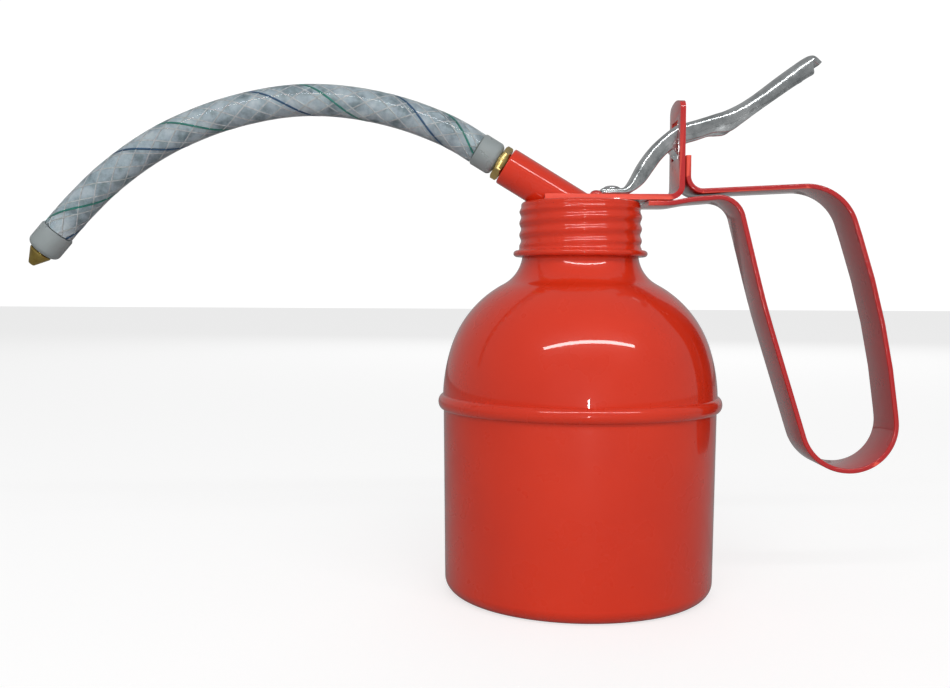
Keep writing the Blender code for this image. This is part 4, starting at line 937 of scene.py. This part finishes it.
def make_nozzle():
    low = 2.0 * GAP + TIP_FERRULE_LENGTH
    high = low + NOZZLE_LENGTH
    profile = [(NOZZLE_BORE, high - 0.0004), (NOZZLE_BORE + 0.0001, high), (NOZZLE_TIP_RADIUS - 0.0002, high),
               (NOZZLE_TIP_RADIUS, high - 0.0002), (NOZZLE_BASE_RADIUS, low + 0.0007),
               (NOZZLE_BASE_RADIUS, low + 0.0001), (NOZZLE_BASE_RADIUS - 0.0002, low), (BARB_RADIUS, low),
               (BARB_RADIUS, GAP + BARB_LEAD), (BARB_RADIUS - BARB_TAPER, GAP), (NOZZLE_BORE, GAP)]
    nozzle = revolve("cone_nozzle", profile, BRASS_TIP, 64, angle=25.0)
    place(nozzle, NOZZLE_MATRIX)
    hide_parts("nozzle")
    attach(nozzle, "head")
    return nozzle


def route_frames():
    """(point, along, side, up, distance) at even steps of the hose's route."""
    route = [Vector((x, 0.0, z)) for x, z in catmull(HOSE_ROUTE, 16)]
    frames = []
    distance = 0.0
    for index, point in enumerate(route):
        before = route[max(index - 1, 0)]
        after = route[min(index + 1, len(route) - 1)]
        if index:
            distance += (point - before).length
        along = (after - before).normalized()
        up = Vector((-along.z, 0.0, along.x))
        frames.append((point, along, Vector((0.0, 1.0, 0.0)), up, distance))
    return frames


def tube(name, frames, radius, material, segments=40):
    turns = [2 * math.pi * k / segments for k in range(segments)]
    rows = []
    for point, _, side, up, _ in frames:
        rows.append([point + radius * (side * math.cos(turn) + up * math.sin(turn)) for turn in turns])
    return loft(name, rows, material)


def yarn(name, frames, start, hand, material, radius):
    curve = bpy.data.curves.new(name, "CURVE")
    curve.dimensions = "3D"
    curve.bevel_depth = radius
    curve.bevel_resolution = 1
    curve.use_fill_caps = True
    spline = curve.splines.new("POLY")
    spline.points.add(len(frames) - 1)
    for knot, (point, _, side, up, distance) in zip(spline.points, frames):
        turn = start + hand * 2.0 * math.pi * distance / BRAID_PITCH
        out = BRAID_RADIUS * (side * math.cos(turn) + up * math.sin(turn))
        knot.co = (*(point + out), 1.0)
    item = bpy.data.objects.new(name, curve)
    bpy.context.scene.collection.objects.link(item)
    curve.materials.append(material)
    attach(item, "head")
    return item


def make_hose():
    frames = route_frames()
    wall = tube("hose_wall", frames, HOSE_RADIUS, HOSE_CLEAR)
    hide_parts("hose")
    core = tube("hose_core", frames, HOSE_CORE_RADIUS, HOSE_CORE)
    for piece in (wall, core):
        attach(piece, "head")
    for hand, label in ((1, "right"), (-1, "left")):
        for index in range(BRAID_STARTS):
            start = 2.0 * math.pi * index / BRAID_STARTS
            yarn(f"braid_{label}_{index + 1}", frames, start, hand, YARN_WHITE, BRAID_THREAD)
    yarn("tracer_blue", frames, TRACER_BLUE_START, 1, YARN_BLUE, 1.5 * BRAID_THREAD)
    yarn("tracer_green", frames, TRACER_GREEN_START, 1, YARN_GREEN, 1.5 * BRAID_THREAD)


# ---------------------------------------------------------------- carried-over pieces
def dress_frame():
    """Looks for the CAD pieces that stay: the pump inside the can and its small fittings."""
    looks = {
        BRASS_PUMP: ("rod_gland", "pump_cylinder", "foot_valve_body", "suction_strainer", "piston"),
        STEEL: ("inlet_ball", "ball_retainer", "suction_tube", "piston_nut", "flap_stop", "return_spring"),
        RUBBER: ("cap_gasket", "rod_packing", "transfer_flap"),
        LEATHER: ("piston_seal",),
    }
    for material, names in looks.items():
        for name in names:
            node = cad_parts[name]
            node.data.materials.clear()
            node.data.materials.append(material)


# ---------------------------------------------------------------- stage
def by_ray(nodes, links, elsewhere, seen):
    """One strength for what is seen straight on and another for what it lights or is mirrored in."""
    path = nodes.new("ShaderNodeLightPath")
    choice = nodes.new("ShaderNodeMapRange")
    choice.inputs["To Min"].default_value = elsewhere
    choice.inputs["To Max"].default_value = seen
    links.new(path.outputs["Is Camera Ray"], choice.inputs["Value"])
    return choice.outputs["Result"]


def make_stage():
    floor_shape = bmesh.new()
    bmesh.ops.create_grid(floor_shape, x_segments=1, y_segments=1, size=6.0)
    mesh = bpy.data.meshes.new("floor")
    floor_shape.to_mesh(mesh)
    floor_shape.free()
    pale = Shader("pale_floor", (0.42, 0.42, 0.42), 0.0, 0.9)
    pale.bsdf.inputs["Specular IOR Level"].default_value = 0.0
    pale.bsdf.inputs["Emission Color"].default_value = (1.0, 1.0, 1.0, 1.0)
    pale.links.new(by_ray(pale.nodes, pale.links, 0.0, FLOOR_GLOW), pale.bsdf.inputs["Emission Strength"])
    floor = link_mesh("floor", mesh, pale.material)


def area_light(name, location, target, size, power, colour=(1.0, 1.0, 1.0)):
    data = bpy.data.lights.new(name, "AREA")
    data.shape = "RECTANGLE"
    data.size, data.size_y = size
    data.energy = power
    data.color = colour
    light = bpy.data.objects.new(name, data)
    bpy.context.scene.collection.objects.link(light)
    light.location = location
    light.rotation_euler = (Vector(target) - Vector(location)).to_track_quat("-Z", "Y").to_euler()
    return light


def make_lights():
    world = bpy.data.worlds.new("studio")
    bpy.context.scene.world = world
    world.use_nodes = True
    nodes, links = world.node_tree.nodes, world.node_tree.links
    background = nodes["Background"]
    background.inputs["Color"].default_value = (1.0, 1.0, 1.0, 1.0)
    links.new(by_ray(nodes, links, AMBIENT, BACKDROP), background.inputs["Strength"])
    area_light("window_high", (0.06, -0.73, 0.77), (0.0, 0.0, 0.09), (1.40, 0.06), 4.4)
    area_light("strip", (0.024, -0.62, 0.05), (0.0, 0.0, 0.09), (0.012, 0.10), 0.18)
    fill = area_light("front_fill", (-0.1, -1.7, 0.35), (0.0, 0.0, 0.10), (1.6, 0.8), 11.5)
    back = area_light("back_fill", (0.3, 1.6, 0.9), (0.0, 0.0, 0.10), (1.4, 0.8), 6.0)
    for light in (fill, back):
        light.visible_glossy = False


def make_camera():
    data = bpy.data.cameras.new("camera")
    data.sensor_width = SENSOR_WIDTH
    data.lens = FOCAL_PIXELS * SENSOR_WIDTH / PHOTO_WIDTH
    camera = bpy.data.objects.new("camera", data)
    bpy.context.scene.collection.objects.link(camera)
    camera.matrix_world = (Matrix.Translation(CAMERA_LOCATION)
                           @ Matrix.Rotation(math.radians(90.0 - CAMERA_PITCH), 4, "X")
                           @ Matrix.Rotation(math.radians(CAMERA_ROLL), 4, "Z"))
    data.clip_start = 0.01
    data.clip_end = 50.0
    bpy.context.scene.camera = camera
    bpy.context.scene.view_settings.view_transform = "Standard"


make_camera()
make_stage()
make_lights()
make_can()
make_cap()
make_bracket()
make_strap()
make_bracket_rivets()
make_lever()
make_rod()
make_spout()
make_fitting()
ferrules = make_ferrules()
nozzle = make_nozzle()
make_hose()
dress_frame()
